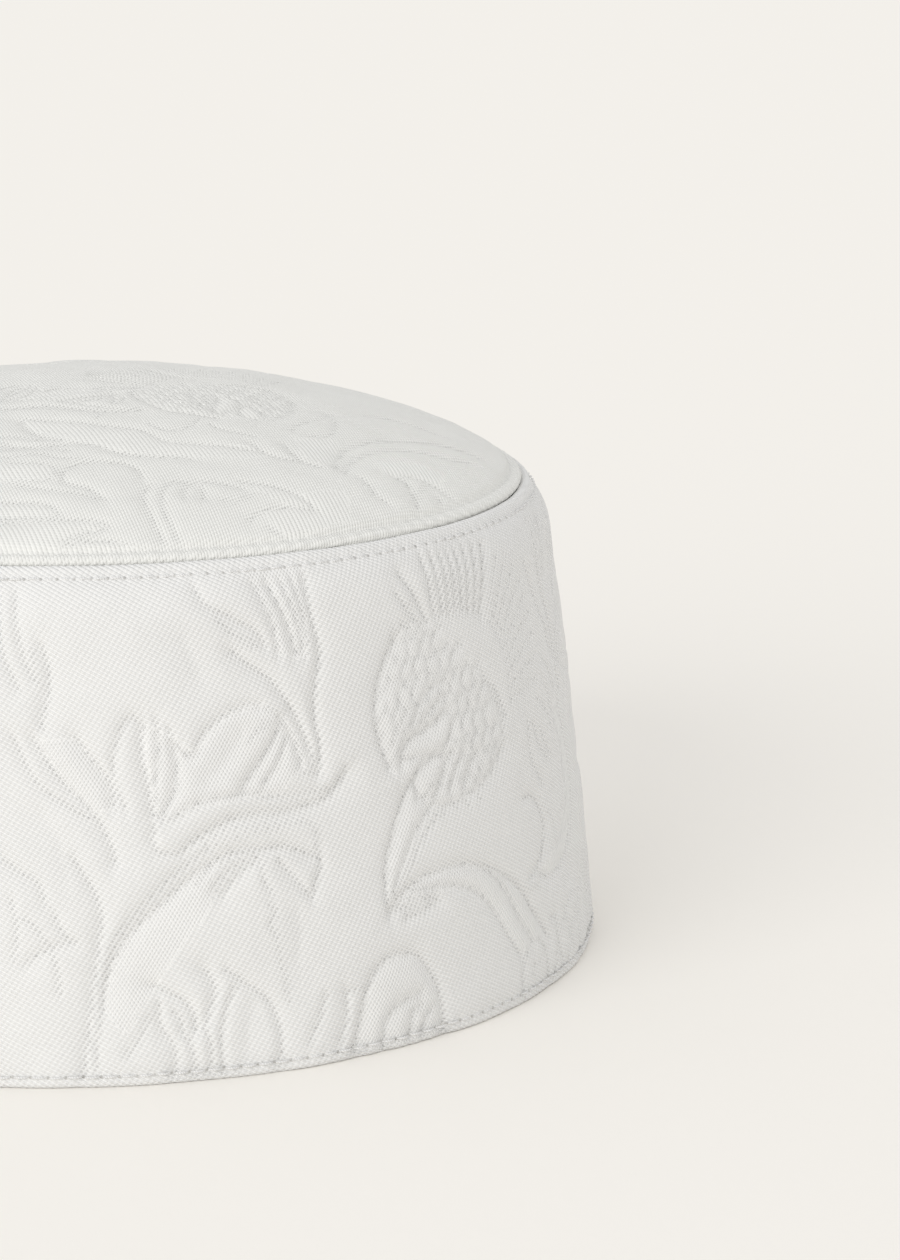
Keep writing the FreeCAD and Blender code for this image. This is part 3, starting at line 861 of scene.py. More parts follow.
@dataclass(frozen=True)
class DamaskFinish:
    """White quilted damask: a twill ground, satin figures and quilting lines sunk between them."""

    name: str = "quilted_damask"
    light: Colour = (0.845, 0.841, 0.826)
    shade: Colour = (0.69, 0.687, 0.673)
    # Painted shade: the colour that the cloth is darkened to along the quilting creases.
    crease_painted_shade: Colour = (0.58, 0.575, 0.562)
    # Painted shade inside the needle holes of the topstitching.
    needle_hole_painted_shade: Colour = (0.36, 0.34, 0.31)
    ground: tuple[WeaveLine, ...] = (WeaveLine(0.65, 62.0, 0.72), WeaveLine(0.84, -33.0, 0.34))
    figure: tuple[WeaveLine, ...] = (WeaveLine(0.60, 37.0, 0.52), WeaveLine(0.57, -31.0, 0.44))
    rows: tuple[StitchRow, ...] = ()
    weave_depth: float = 0.092
    weave_tone: float = 0.40
    middle_tone: float = 0.42
    cloud_scale: float = 60.0
    cloud_tone: float = 0.3
    cloud_drift: float = 4.0
    fuzz_scale: float = 2600.0
    fuzz_height: float = 0.5
    fuzz_roughness: float = 0.1
    dimple_depth: Point = (0.8, 0.4)
    # How much painted crease shade the cloth takes, most in the tie-down dimples.
    dimple_painted_shade: Point = (0.25, 0.10)
    hole_reach: float = 0.36
    hole_sharpness: float = 24.0
    hole_depth: float = 1.5
    # Share of painted shade in the needle holes.
    needle_hole_shade_share: float = 0.55
    roughness: float = 0.62
    satin_gloss: float = 0.08
    sheen: float = 0.12
    sheen_roughness: float = 0.4
    specular: float = 0.28

    def holes(self, bench: Bench, x: bpy.types.NodeSocket, y: bpy.types.NodeSocket) -> bpy.types.NodeSocket:
        """Needle holes between the stitches of each row.

        Args:
            bench: the material's node tree.
            x: place along the cloth.
            y: place across it.

        Returns:
            A socket that is 1 in the middle of a hole and 0 away from the holes.
        """
        total = 0.0
        for row in self.rows:
            half_turn = bench.sum_of("MULTIPLY", x, 0.5 * row.count / BAND_RADIUS)
            peak = bench.sum_of("ABSOLUTE", bench.sum_of("COSINE", half_turn))
            along = bench.sum_of("POWER", peak, self.hole_sharpness)
            away = bench.sum_of("DIVIDE", bench.sum_of("SUBTRACT", y, row.run), self.hole_reach)
            across = bench.sum_of("SUBTRACT", 1.0, bench.sum_of("MULTIPLY", away, away))
            total = bench.sum_of("MULTIPLY_ADD", along, bench.sum_of("MAXIMUM", across, 0.0), total)
        return total

    @staticmethod
    def crossed(bench: Bench, lines: Sequence[WeaveLine],
                waves: Sequence[bpy.types.NodeSocket]) -> bpy.types.NodeSocket:
        """Add two families of weave lines by their shares."""
        second = bench.sum_of("MULTIPLY", waves[1], lines[1].share)
        return bench.sum_of("MULTIPLY_ADD", waves[0], lines[0].share, second)

    def material(self) -> bpy.types.Material:
        """Make the material.

        Returns:
            The damask, which reads the cloth map and the figure and crease layers.
        """
        bench = Bench(self.name)
        x, y = bench.place()
        spot = bench.spot()
        clouds = bench.noise(spot, self.cloud_scale)
        drift = bench.sum_of("MULTIPLY", clouds, self.cloud_drift)
        ground_waves = [bench.wave(x, y, line.pitch, line.lean, drift) for line in self.ground]
        figure_waves = [bench.wave(x, y, line.pitch, line.lean, drift) for line in self.figure]
        figure = bench.layer(FIGURE_LAYER)
        crease = bench.layer(CREASE_LAYER)
        weave = bench.blend(figure, self.crossed(bench, self.ground, ground_waves),
                            self.crossed(bench, self.figure, figure_waves))
        fuzz = bench.noise(spot, self.fuzz_scale, 3.0)
        dots = bench.sum_of("MULTIPLY", *ground_waves)
        sunk = bench.sum_of("MULTIPLY", crease, bench.sum_of("MULTIPLY_ADD", dots, *self.dimple_depth))
        raised = bench.sum_of("MULTIPLY_ADD", fuzz, self.fuzz_height, weave)
        holes = self.holes(bench, x, y) if self.rows else 0.0
        sunk = bench.sum_of("MULTIPLY_ADD", holes, self.hole_depth, sunk)
        bench.bump(bench.sum_of("SUBTRACT", raised, sunk), self.weave_depth)
        tone = bench.sum_of("MULTIPLY_ADD", weave, self.weave_tone,
                            bench.sum_of("MULTIPLY", clouds, self.cloud_tone))
        cloth = bench.mix(bench.sum_of("SUBTRACT", self.middle_tone, tone), self.light, self.shade)
        # Painted shade along the crease lines and dimples, where shade falls into the quilting.
        painted_crease_shade_share = bench.sum_of("MULTIPLY", crease, bench.sum_of("MULTIPLY_ADD", dots, *self.dimple_painted_shade))
        quilted = bench.mix(painted_crease_shade_share, cloth, self.crease_painted_shade)
        # Painted shade: the needle holes are darkened as if shade lay in them.
        with_painted_hole_shade = bench.mix(bench.sum_of("MULTIPLY", holes, self.needle_hole_shade_share), quilted, self.needle_hole_painted_shade)
        rough = bench.sum_of("MULTIPLY_ADD", fuzz, self.fuzz_roughness, self.roughness)
        bench.feed(bench.shader.inputs["Base Color"], with_painted_hole_shade)
        bench.feed(bench.shader.inputs["Roughness"],
                   bench.sum_of("MULTIPLY_ADD", figure, -self.satin_gloss, rough))
        bench.shader.inputs["Sheen Weight"].default_value = self.sheen
        bench.shader.inputs["Sheen Roughness"].default_value = self.sheen_roughness
        bench.shader.inputs["Specular IOR Level"].default_value = self.specular
        return bench.material


@dataclass(frozen=True)
class PlainWeaveFinish:
    """A fine plain weave, with ribs across it where it is a tape."""

    name: str
    light: Colour
    shade: Colour
    yarn_pitch: float
    rib_pitch: float
    weave_depth: float = 0.06
    rib_height: float = 0.5
    cloud_scale: float = 150.0
    cloud_drift: float = 3.0
    slub_scale: float = 900.0
    slub_height: float = 0.6
    slub_tone: float = 0.8
    weave_tone: float = 0.12
    slub_roughness: float = 0.14
    roughness: float = 0.63
    sheen: float = 0.1

    def material(self) -> bpy.types.Material:
        """Make the material.

        Returns:
            The plain weave, which reads the cloth map.
        """
        bench = Bench(self.name)
        x, y = bench.place()
        spot = bench.spot()
        drift = bench.sum_of("MULTIPLY", bench.noise(spot, self.cloud_scale), self.cloud_drift)
        weave = bench.sum_of("MULTIPLY", bench.wave(x, y, self.yarn_pitch, 0.0, drift),
                             bench.wave(x, y, self.yarn_pitch, 90.0))
        slubs = bench.noise(spot, self.slub_scale, 3.0)
        height = bench.sum_of("MULTIPLY_ADD", slubs, self.slub_height, weave)
        ribs = bench.wave(x, y, self.rib_pitch, 0.0)
        bench.bump(bench.sum_of("MULTIPLY_ADD", ribs, self.rib_height, height), self.weave_depth)
        tone = bench.sum_of("MULTIPLY_ADD", weave, self.weave_tone,
                            bench.sum_of("MULTIPLY", slubs, self.slub_tone))
        bench.feed(bench.shader.inputs["Base Color"], bench.mix(tone, self.shade, self.light))
        bench.feed(bench.shader.inputs["Roughness"],
                   bench.sum_of("MULTIPLY_ADD", slubs, self.slub_roughness, self.roughness))
        bench.shader.inputs["Sheen Weight"].default_value = self.sheen
        return bench.material


@dataclass(frozen=True)
class ThreadFinish:
    """Twisted sewing thread."""

    name: str = "white_sewing_thread"
    light: Colour = (0.84, 0.835, 0.825)
    shade: Colour = (0.66, 0.655, 0.645)
    twist_pitch: float = 0.34
    twist_lean: float = 38.0
    twist_depth: float = 0.05
    twist_tone: float = 0.7
    fuzz_scale: float = 4200.0
    fuzz_height: float = 0.4
    fuzz_tone: float = 0.3
    fuzz_roughness: float = 0.2
    roughness: float = 0.4
    sheen: float = 0.15

    def material(self) -> bpy.types.Material:
        """Make the material.

        Returns:
            The thread, whose twist reads the stitch's own map.
        """
        bench = Bench(self.name)
        x, y = bench.place()
        twist = bench.sum_of("MULTIPLY_ADD", bench.wave(x, y, self.twist_pitch, self.twist_lean), 0.5, 0.5)
        fuzz = bench.noise(bench.spot(), self.fuzz_scale, 2.0)
        bench.bump(bench.sum_of("MULTIPLY_ADD", fuzz, self.fuzz_height, twist), self.twist_depth)
        tone = bench.sum_of("MULTIPLY_ADD", fuzz, self.fuzz_tone,
                            bench.sum_of("MULTIPLY", twist, self.twist_tone))
        bench.feed(bench.shader.inputs["Base Color"], bench.mix(tone, self.shade, self.light))
        bench.feed(bench.shader.inputs["Roughness"],
                   bench.sum_of("MULTIPLY_ADD", fuzz, self.fuzz_roughness, self.roughness))
        bench.shader.inputs["Sheen Weight"].default_value = self.sheen
        return bench.material


@dataclass(frozen=True)
class FeltedStripFinish:
    """Stiffening strip: pressed fibres that lie every way."""

    name: str = "stiffening_strip"
    light: Colour = (0.72, 0.70, 0.66)
    shade: Colour = (0.55, 0.53, 0.49)
    fibre_scale: float = 700.0
    fibre_tone: float = 0.6
    fibre_depth: float = 0.2
    clot_scale: float = 140.0
    clot_height: float = 0.5
    clot_tone: float = 0.4
    fibre_roughness: float = 0.2
    roughness: float = 0.75

    def material(self) -> bpy.types.Material:
        """Make the material.

        Returns:
            The felted strip, which reads the place on the piece.
        """
        bench = Bench(self.name)
        spot = bench.spot()
        fibres = bench.noise(spot, self.fibre_scale, 6.0)
        clots = bench.noise(spot, self.clot_scale, 3.0)
        bench.bump(bench.sum_of("MULTIPLY_ADD", clots, self.clot_height, fibres), self.fibre_depth)
        tone = bench.sum_of("MULTIPLY_ADD", clots, self.clot_tone,
                            bench.sum_of("MULTIPLY", fibres, self.fibre_tone))
        bench.feed(bench.shader.inputs["Base Color"], bench.mix(tone, self.shade, self.light))
        bench.feed(bench.shader.inputs["Roughness"],
                   bench.sum_of("MULTIPLY_ADD", fibres, self.fibre_roughness, self.roughness))
        return bench.material


@dataclass(frozen=True)
class FloorFinish:
    """Matt paper floor in a warm off-white."""

    name: str = "paper_floor"
    light: Colour = (0.932, 0.905, 0.858)

    def material(self) -> bpy.types.Material:
        """Make the material.

        Returns:
            One even colour without gloss.
        """
        bench = Bench(self.name)
        bench.feed(bench.shader.inputs["Base Color"], (*self.light, 1.0))
        bench.shader.inputs["Roughness"].default_value = 1.0
        bench.shader.inputs["Specular IOR Level"].default_value = 0.0
        return bench.material


def clear_selection() -> None:
    """Leave no object selected, as each primitive starts from that."""
    if bpy.context.object is not None and bpy.context.object.mode != "OBJECT":
        bpy.ops.object.mode_set(mode="OBJECT")
    bpy.ops.object.select_all(action="DESELECT")


@dataclass
class TurnedCloth:
    """A cloth turned about the Z axis, with a map of its flat cut."""

    name: str
    line: ClothLine
    columns: int
    cuts: int = 2
    closed_top: bool = False
    crowding: float = 0.0
    obj: bpy.types.Object = field(init=False, default=None)

    def build_cage(self) -> None:
        """Extrude a ring up along the section line, ring by ring."""
        clear_selection()
        rings, _ = self.line.at(np.array(self.line.stops))
        rings = rings * MM
        bpy.ops.mesh.primitive_circle_add(vertices=self.columns, radius=rings[0][0], fill_type="NOTHING",
                                          location=(0.0, 0.0, rings[0][1]))
        self.obj = bpy.context.object
        self.obj.name = self.obj.data.name = self.name
        bpy.ops.object.transform_apply(location=True, rotation=True, scale=True)
        bpy.ops.object.mode_set(mode="EDIT")
        bpy.ops.mesh.select_all(action="SELECT")
        for before, after in zip(rings, rings[1:]):
            rise = (0.0, 0.0, after[1] - before[1])
            bpy.ops.mesh.extrude_region_move(TRANSFORM_OT_translate={"value": rise})
            scale = max(after[0], SMALLEST_RING) / before[0]
            bpy.ops.transform.resize(value=(scale, scale, 1.0), center_override=(0.0, 0.0, after[1]))
        if self.closed_top:
            bpy.ops.mesh.merge(type="CENTER")
        bpy.ops.object.mode_set(mode="OBJECT")
        self.crowd_columns()

    def crowd_columns(self) -> None:
        """Draw the columns together towards the front right, where the cloth is seen closest."""
        for vertex in self.obj.data.vertices:
            turn = math.atan2(vertex.co.x, -vertex.co.y)
            moved = turn - self.crowding * math.sin(turn - CLOSEST_TURN)
            reach = math.hypot(vertex.co.x, vertex.co.y)
            vertex.co.x, vertex.co.y = reach * math.sin(moved), -reach * math.cos(moved)

    def map_cage(self) -> None:
        """Write the flat cut's millimetres into a map."""
        mesh = self.obj.data
        layer = mesh.uv_layers.new(name=CLOTH_MAP)
        marks = np.array(self.line.stops)
        for face in mesh.polygons:
            corners = [mesh.vertices[index].co for index in face.vertices]
            turns = [math.atan2(corner.x, -corner.y) for corner in corners]
            if max(turns) - min(turns) > math.pi:
                turns = [turn + FULL_TURN if turn < 0 else turn for turn in turns]
            for loop, index, turn in zip(face.loop_indices, face.vertices, turns):
                layer.data[loop].uv = self.flat(turn, marks[min(index // self.columns, len(marks) - 1)])

    def flat(self, turn: float, run: float) -> Point:
        """Place on the flat cut for a turn from the front and a run along the section."""
        raise NotImplementedError

    def subdivide(self) -> None:
        """Cut every face of the cage into a fine grid."""
        clear_selection()
        self.obj.select_set(True)
        bpy.context.view_layer.objects.active = self.obj
        fine = self.obj.modifiers.new("fine_grid", "SUBSURF")
        fine.subdivision_type = "SIMPLE"
        fine.levels = fine.render_levels = self.cuts
        fine.uv_smooth = "NONE"
        bpy.ops.object.modifier_apply(modifier=fine.name)

    def read_map(self) -> np.ndarray:
        """Read the map back for every point of the fine mesh.

        Returns:
            Places on the flat cut as an n by 2 array, in millimetres.
        """
        mesh = self.obj.data
        flat = np.zeros(len(mesh.loops) * 2, np.float32)
        mesh.uv_layers[CLOTH_MAP].data.foreach_get("uv", flat)
        corners = np.zeros(len(mesh.loops), np.int32)
        mesh.loops.foreach_get("vertex_index", corners)
        places = np.zeros((len(mesh.vertices), 2))
        places[corners] = flat.reshape(-1, 2)
        return places

    def write(self, points: np.ndarray, layers: dict[str, np.ndarray]) -> None:
        """Move the mesh's points and hang numbers on them.

        Args:
            points: n by 3 array of places, in millimetres.
            layers: numbers for the materials, by name.
        """
        mesh = self.obj.data
        mesh.vertices.foreach_set("co", (points * MM).astype(np.float32).ravel())
        for name, values in layers.items():
            mesh.attributes.new(name, "FLOAT", "POINT").data.foreach_set("value", values.astype(np.float32))
        mesh.polygons.foreach_set("use_smooth", np.ones(len(mesh.polygons), bool))
        mesh.update()

    def dress(self, material: bpy.types.Material, slot: str, *nodes: str) -> None:
        """Finish the piece, ride it on the cap and let it stand for its CAD nodes.

        Args:
            material: the piece's finish.
            slot: name of its material slot; not used.
            nodes: the CAD nodes that it stands for.
        """
        self.obj.data.materials.clear()
        self.obj.data.materials.append(material)
        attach(self.obj, BODY)
        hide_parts(*nodes)
        logger.info("%s, %d faces", self.name, len(self.obj.data.polygons))


@dataclass(frozen=True)
class CapSection:
    """The cap's section, as the CAD model gives it, in millimetres and degrees."""

    hem_radius: float = 95.0
    hem_lean: float = 5.04
    wall_lean: float = 7.66
    wall_length: float = 78.07
    shoulder_radius: float = 16.0
    seam_lean: float = 40.5
    fold_radius: float = 1.7
    lip_radius: float = 1.9
    lip_sink: float = 0.6
    crown_edge_slope: float = 34.0
    crown_edge_radius: float = 57.3
    crown_mid_slope: float = 18.8
    lip_valley_turn: float = 2.2
    hem_ease: float = 1.15
    turn_up_folds: int = 8
    throat_ease: float = 0.1
    allowance_lean: float = 10.0

    @property
    def bow(self) -> float:
        """Radius of the wall's slight bow."""
        return self.wall_length / math.radians(self.wall_lean - self.hem_lean)

    @property
    def wall_centre(self) -> Point:
        """Centre of the wall's bow."""
        lean = math.radians(self.hem_lean)
        return self.hem_radius - self.bow * math.cos(lean), -self.bow * math.sin(lean)

    @staticmethod
    def on_arc(centre: Point, radius: float, angle: float) -> Point:
        """A point on an arc, with its angle in degrees."""
        turn = math.radians(angle)
        return centre[0] + radius * math.cos(turn), centre[1] + radius * math.sin(turn)

    def inner_centre(self, centre: Point, radius: float, angle: float, new_radius: float) -> Point:
        """Centre of an arc that goes on from another without a kink."""
        return self.on_arc(centre, radius - new_radius, angle)

    @property
    def shoulder_centre(self) -> Point:
        """Centre of the shoulder."""
        return self.inner_centre(self.wall_centre, self.bow, self.wall_lean, self.shoulder_radius)

    @property
    def fold_centre(self) -> Point:
        """Centre of the crown-edge fold."""
        return self.inner_centre(self.shoulder_centre, self.shoulder_radius, self.seam_lean, self.fold_radius)

    def band_line(self) -> ClothLine:
        """The band's cloth, from the turn-up's raw edge round the hem to the allowance at the crown.

        Returns:
            Its section line.
        """
        ease = self.hem_ease
        foot = math.degrees(ease / self.bow)
        raw_edge = self.hem_lean + self.turn_up_folds * foot
        line = ClothLine(*self.on_arc(self.wall_centre, self.bow - 2 * ease, raw_edge))
        low_in = self.on_arc(self.wall_centre, self.bow - 2 * ease, self.hem_lean + foot)
        line.line_to(*low_in, rings=2)
        middle = self.on_arc(self.wall_centre, self.bow - ease, self.hem_lean + foot)
        line.arc(middle, ease, self.hem_lean + foot - 180.0, self.hem_lean + foot, rings=2)
        line.arc(self.wall_centre, self.bow, self.hem_lean + foot, self.wall_lean, rings=24)
        line.arc(self.shoulder_centre, self.shoulder_radius, self.wall_lean, self.seam_lean, rings=3)
        line.arc(self.fold_centre, self.fold_radius, self.seam_lean, self.seam_lean + 180.0, rings=2)
        inner = self.shoulder_radius - 2 * self.fold_radius
        edge_lean = self.seam_lean - self.allowance_lean
        return line.arc(self.shoulder_centre, inner, self.seam_lean, edge_lean, rings=1)

    def crown_line(self) -> ClothLine:
        """The crown's cloth, from its allowance up through the throat, over the lip and to the middle.

        Returns:
            Its section line.
        """
        throat = self.fold_radius + self.throat_ease
        inner = self.shoulder_radius - 2 * self.fold_radius - self.throat_ease
        offset = self.lip_radius + self.lip_sink - self.fold_radius
        lip_start = self.seam_lean - math.degrees(math.acos(offset / (throat + self.lip_radius)))
        lip_centre = self.on_arc(self.fold_centre, -(throat + self.lip_radius), lip_start)
        edge_lean, mid_lean = 90.0 - self.crown_edge_slope, 90.0 - self.crown_mid_slope
        edge_centre = self.inner_centre(lip_centre, self.lip_radius, edge_lean, self.crown_edge_radius)
        mid_x, mid_z = self.on_arc(edge_centre, self.crown_edge_radius, mid_lean)
        mid_radius = mid_x / math.cos(math.radians(mid_lean))
        mid_centre = (0.0, mid_z - mid_radius * math.sin(math.radians(mid_lean)))
        raw_edge = self.seam_lean - self.allowance_lean
        line = ClothLine(*self.on_arc(self.shoulder_centre, inner, raw_edge))
        line.arc(self.shoulder_centre, inner, raw_edge, self.seam_lean, rings=1)
        line.arc(self.fold_centre, throat, self.seam_lean + 180.0, lip_start + 180.0, rings=1)
        line.arc(lip_centre, self.lip_radius, lip_start, edge_lean, rings=3)
        line.arc(edge_centre, self.crown_edge_radius, edge_lean, edge_lean + self.lip_valley_turn, rings=1)
        line.arc(edge_centre, self.crown_edge_radius, edge_lean + self.lip_valley_turn, mid_lean, rings=4)
        return line.arc(mid_centre, mid_radius, mid_lean, 90.0, rings=21)


def turned_points(turns: np.ndarray, section: np.ndarray) -> np.ndarray:
    """Take section points round the Z axis, from the front towards +X."""
    return np.stack([section[:, 0] * np.sin(turns), -section[:, 0] * np.cos(turns), section[:, 1]], axis=1)


BAND_FIGURES = (
    Placing(LONG_LEAVES), Placing(ACANTHUS), Placing(STEM), Placing(FERN), Placing(PLUME),
    Placing(ARCH_PETAL), Placing(FLOWER_HEAD), Placing(CALYX), Placing(SCROLL),
    Placing(PLUME, shift=(88, 2), turn=6, mirrored=True),
    Placing(ACANTHUS, shift=(114, 6), turn=-14, mirrored=True),
    Placing(STEM, shift=(134, -4), turn=8, size=0.9, mirrored=True),
    Placing(FERN, shift=(106, 0), mirrored=True),
    Placing(LONG_LEAVES, shift=(165, 4), turn=-6, size=0.85),
)

CROWN_STROKES = Figure(
    strokes(Crease.BOLD,
            [(-26, -44), (-15.4, -43.3), (-11.9, -45), (-4.9, -45.1), (-1.4, -45), (1.2, -46),
             (3.8, -48.2), (6.4, -49.9), (10.8, -50.4), (17.8, -50.1)],
            [(-4.6, -60.2), (-4.4, -57.2), (-2.3, -54.3), (0.3, -53.2), (3.8, -53.2), (6.9, -54),
             (8.8, -56.3), (9.3, -58.9)],
            [(-4.6, -60.6), (-1.9, -62.3), (-0.2, -63), (1.5, -65.2), (2.6, -67)],
            [(10.6, -61.8), (9.5, -64.1), (9.6, -67.5), (10.4, -71.3), (11.7, -75.7), (13.2, -80.3)],
            [(43.9, -46.1), (45.5, -38.6), (48.2, -33.4), (53.3, -27.5), (57.3, -24.2), (61.4, -21),
             (65.5, -18), (69.6, -16.3), (73.4, -14.9)],
            [(55.6, -44), (56.9, -44.8), (57.7, -47.5), (58.5, -51.3), (59.4, -54.8), (60.9, -56.1)],
            [(-12, -32.1), (-10.5, -37.1), (-7.5, -41.6), (-4.9, -42.8)])
    + strokes(Crease.PLAIN,
              [(-15.5, -40), (-11.9, -40.8), (-8.4, -42.4), (-5.2, -43.3)],
              [(-12, -31.5), (-4.9, -33.3), (2.2, -36.4), (9.3, -38.7), (13.8, -43.5), (19.8, -43.9),
               (29.7, -44.5)],
              [(16.2, -60.2), (14.1, -61.2), (12.8, -63.8), (12.6, -67.3), (13.2, -71.9), (14.2, -75.4),
               (16, -80.8)], [(16.2, -61.3), (19.3, -59.7), (22.8, -59.9), (26.7, -60.5)],
              [(16.4, -65.6), (16.5, -63.1), (17.9, -61.1)],
              [(19.5, -61.6), (19.9, -63.7), (19.9, -65.7)],
              [(-11.9, -60.9), (-7.6, -63.2), (-1.9, -65.1), (1.2, -67)],
              [(45.6, -47.9), (47.2, -42.1), (50.9, -36), (56.9, -30), (62.8, -27.3), (66.8, -26.1),
               (71, -23.4)], [(34.8, -39.4), (36.2, -43.1), (38.4, -46.7), (41.4, -47.7)],
              [(29.3, -41.4), (31.3, -44.9), (34.8, -46.4), (37.9, -46.5)],
              [(48.6, -48.9), (50, -51.4), (51, -54.2), (52.8, -55.6)],
              [(56.4, -43.4), (59.1, -42.3), (61.8, -42.4), (64.7, -43.7), (68, -46.5)],
              [(63.5, -46.9), (64.4, -49.8), (65.8, -50.8)],
              [(-24, -66), (-15.3, -66.3), (-8.5, -67.7), (-6.2, -69.5), (-5.4, -71.1), (-6.4, -72.2),
               (-15.4, -71.3)],
              [(-15.4, -73), (-1.6, -73.7), (1.4, -74), (3.1, -75.2), (1.4, -76.5), (-1.3, -77.2),
               (-4.8, -79.5)], [(-4.8, -80.5), (-1.4, -79.5), (2.4, -79.1), (5.8, -80)],
              [(26.7, -58.3), (31.7, -58.5), (35.5, -59.9), (38, -61.8), (39.7, -64)],
              [(27.8, -70.6), (29.8, -67.8), (33.2, -65.6), (36.8, -64.5), (39.7, -64.3)])
    + strokes(Crease.FINE,
              [(-26, -50), (-15.4, -50), (-8.4, -49.5), (-4.9, -51.6), (2, -52.8)],
              [(-15.4, -46.5), (-8.4, -47.3), (-3.2, -48.8)],
              [(-14.5, -59.7), (-7.6, -59.9), (-5.8, -57.1), (-7.5, -54.1), (-13.6, -52.4)],
              [(23, -65.9), (26.2, -64.9), (28.4, -62.7)],
              [(40, -33.3), (43.7, -31.2), (45.1, -24.4), (44.7, -17.1)],
              [(59.1, -50.9), (59.8, -46.7), (61.7, -43.2)],
              [(50.5, -12.7), (55.6, -8.9), (60.5, -8.1), (67.7, -10.5)],
              [(21.8, -34), (23.9, -36.6), (29.9, -38.2)],
              [(11.1, -36), (13.9, -38.7), (17.5, -37.1), (20.1, -31.2)],
              [(31, -71.8), (33.1, -73.3), (35.3, -74.5)],
              [(36.4, -31.8), (38.4, -27.3), (42, -22.6), (44.6, -16.5)],
              [(24.6, -77.2), (27.1, -77.1), (29.9, -76.7)])
    + strokes(Crease.DOTTED,
              [(45, -67.4), (49.6, -65.3), (55.4, -60.7), (59.3, -57.1)]),
    (((-12, -31.5), (2.2, -36.4), (11, -40.5), (13.8, -43.5), (19.8, -43.9), (28.7, -43), (32.2, -46),
      (26.7, -49.4), (10.8, -50.4), (3.8, -48.2), (-1.4, -44.5), (-10.2, -37.2)),
     ((-15.4, -52.1), (-7.5, -54.6), (-5.8, -57.9), (-7.6, -59.9), (-15.3, -59.1)),
     ((-24, -66), (-8.5, -67.7), (-5.6, -71.1), (-8.5, -72.6), (-15.4, -71.3)),
     ((-15.4, -73), (0.9, -74), (3.1, -75.2), (-4.8, -79.5), (-6.1, -82.1), (-15.5, -80.7)),
     ((-4.8, -80.5), (1.7, -79.1), (6, -80), (10.3, -81.7), (-3.5, -82.3)),
     ((26.7, -58.7), (36.9, -60.5), (45.2, -55.3), (45.9, -64.8), (34.9, -74.4), (30, -68.1),
      (36.8, -64.5), (32.4, -63.6)),
     ((37.1, -35.8), (44.6, -32.9), (44.6, -43), (41.5, -47.2), (37.7, -43.4)),
     ((52.5, -39.5), (60.3, -34.9), (65.1, -36.5), (63.8, -42), (57.9, -42.3), (53.1, -44.7))),
    (0.0, 0.0))

CROWN_FIGURES = (
    Placing(CROWN_STROKES),
    Placing(FLOWER_HEAD, shift=(-45, -74), turn=62, size=0.85),
    Placing(ACANTHUS, shift=(-27, -71), turn=-24, size=0.75),
    Placing(STEM, shift=(-60, -52), turn=12),
    Placing(ACANTHUS, shift=(-72, -96), turn=30, mirrored=True),
    Placing(SCROLL, shift=(-160, -38), turn=-20, mirrored=True),
    Placing(ARCH_PETAL, shift=(-34, 34), turn=-35, size=1.2),
    Placing(PLUME, shift=(-52, -30), turn=30),
    Placing(FLOWER_HEAD, shift=(-118, -22), turn=-150, size=0.9),
    Placing(CALYX, shift=(-58, 34), turn=160, size=0.9),
    Placing(FERN, shift=(28, 40), turn=70, size=1.1),
    Placing(STEM, shift=(-6, 26), turn=100, size=0.9),
    Placing(LONG_LEAVES, shift=(-40, 8), turn=60, size=0.9),
)


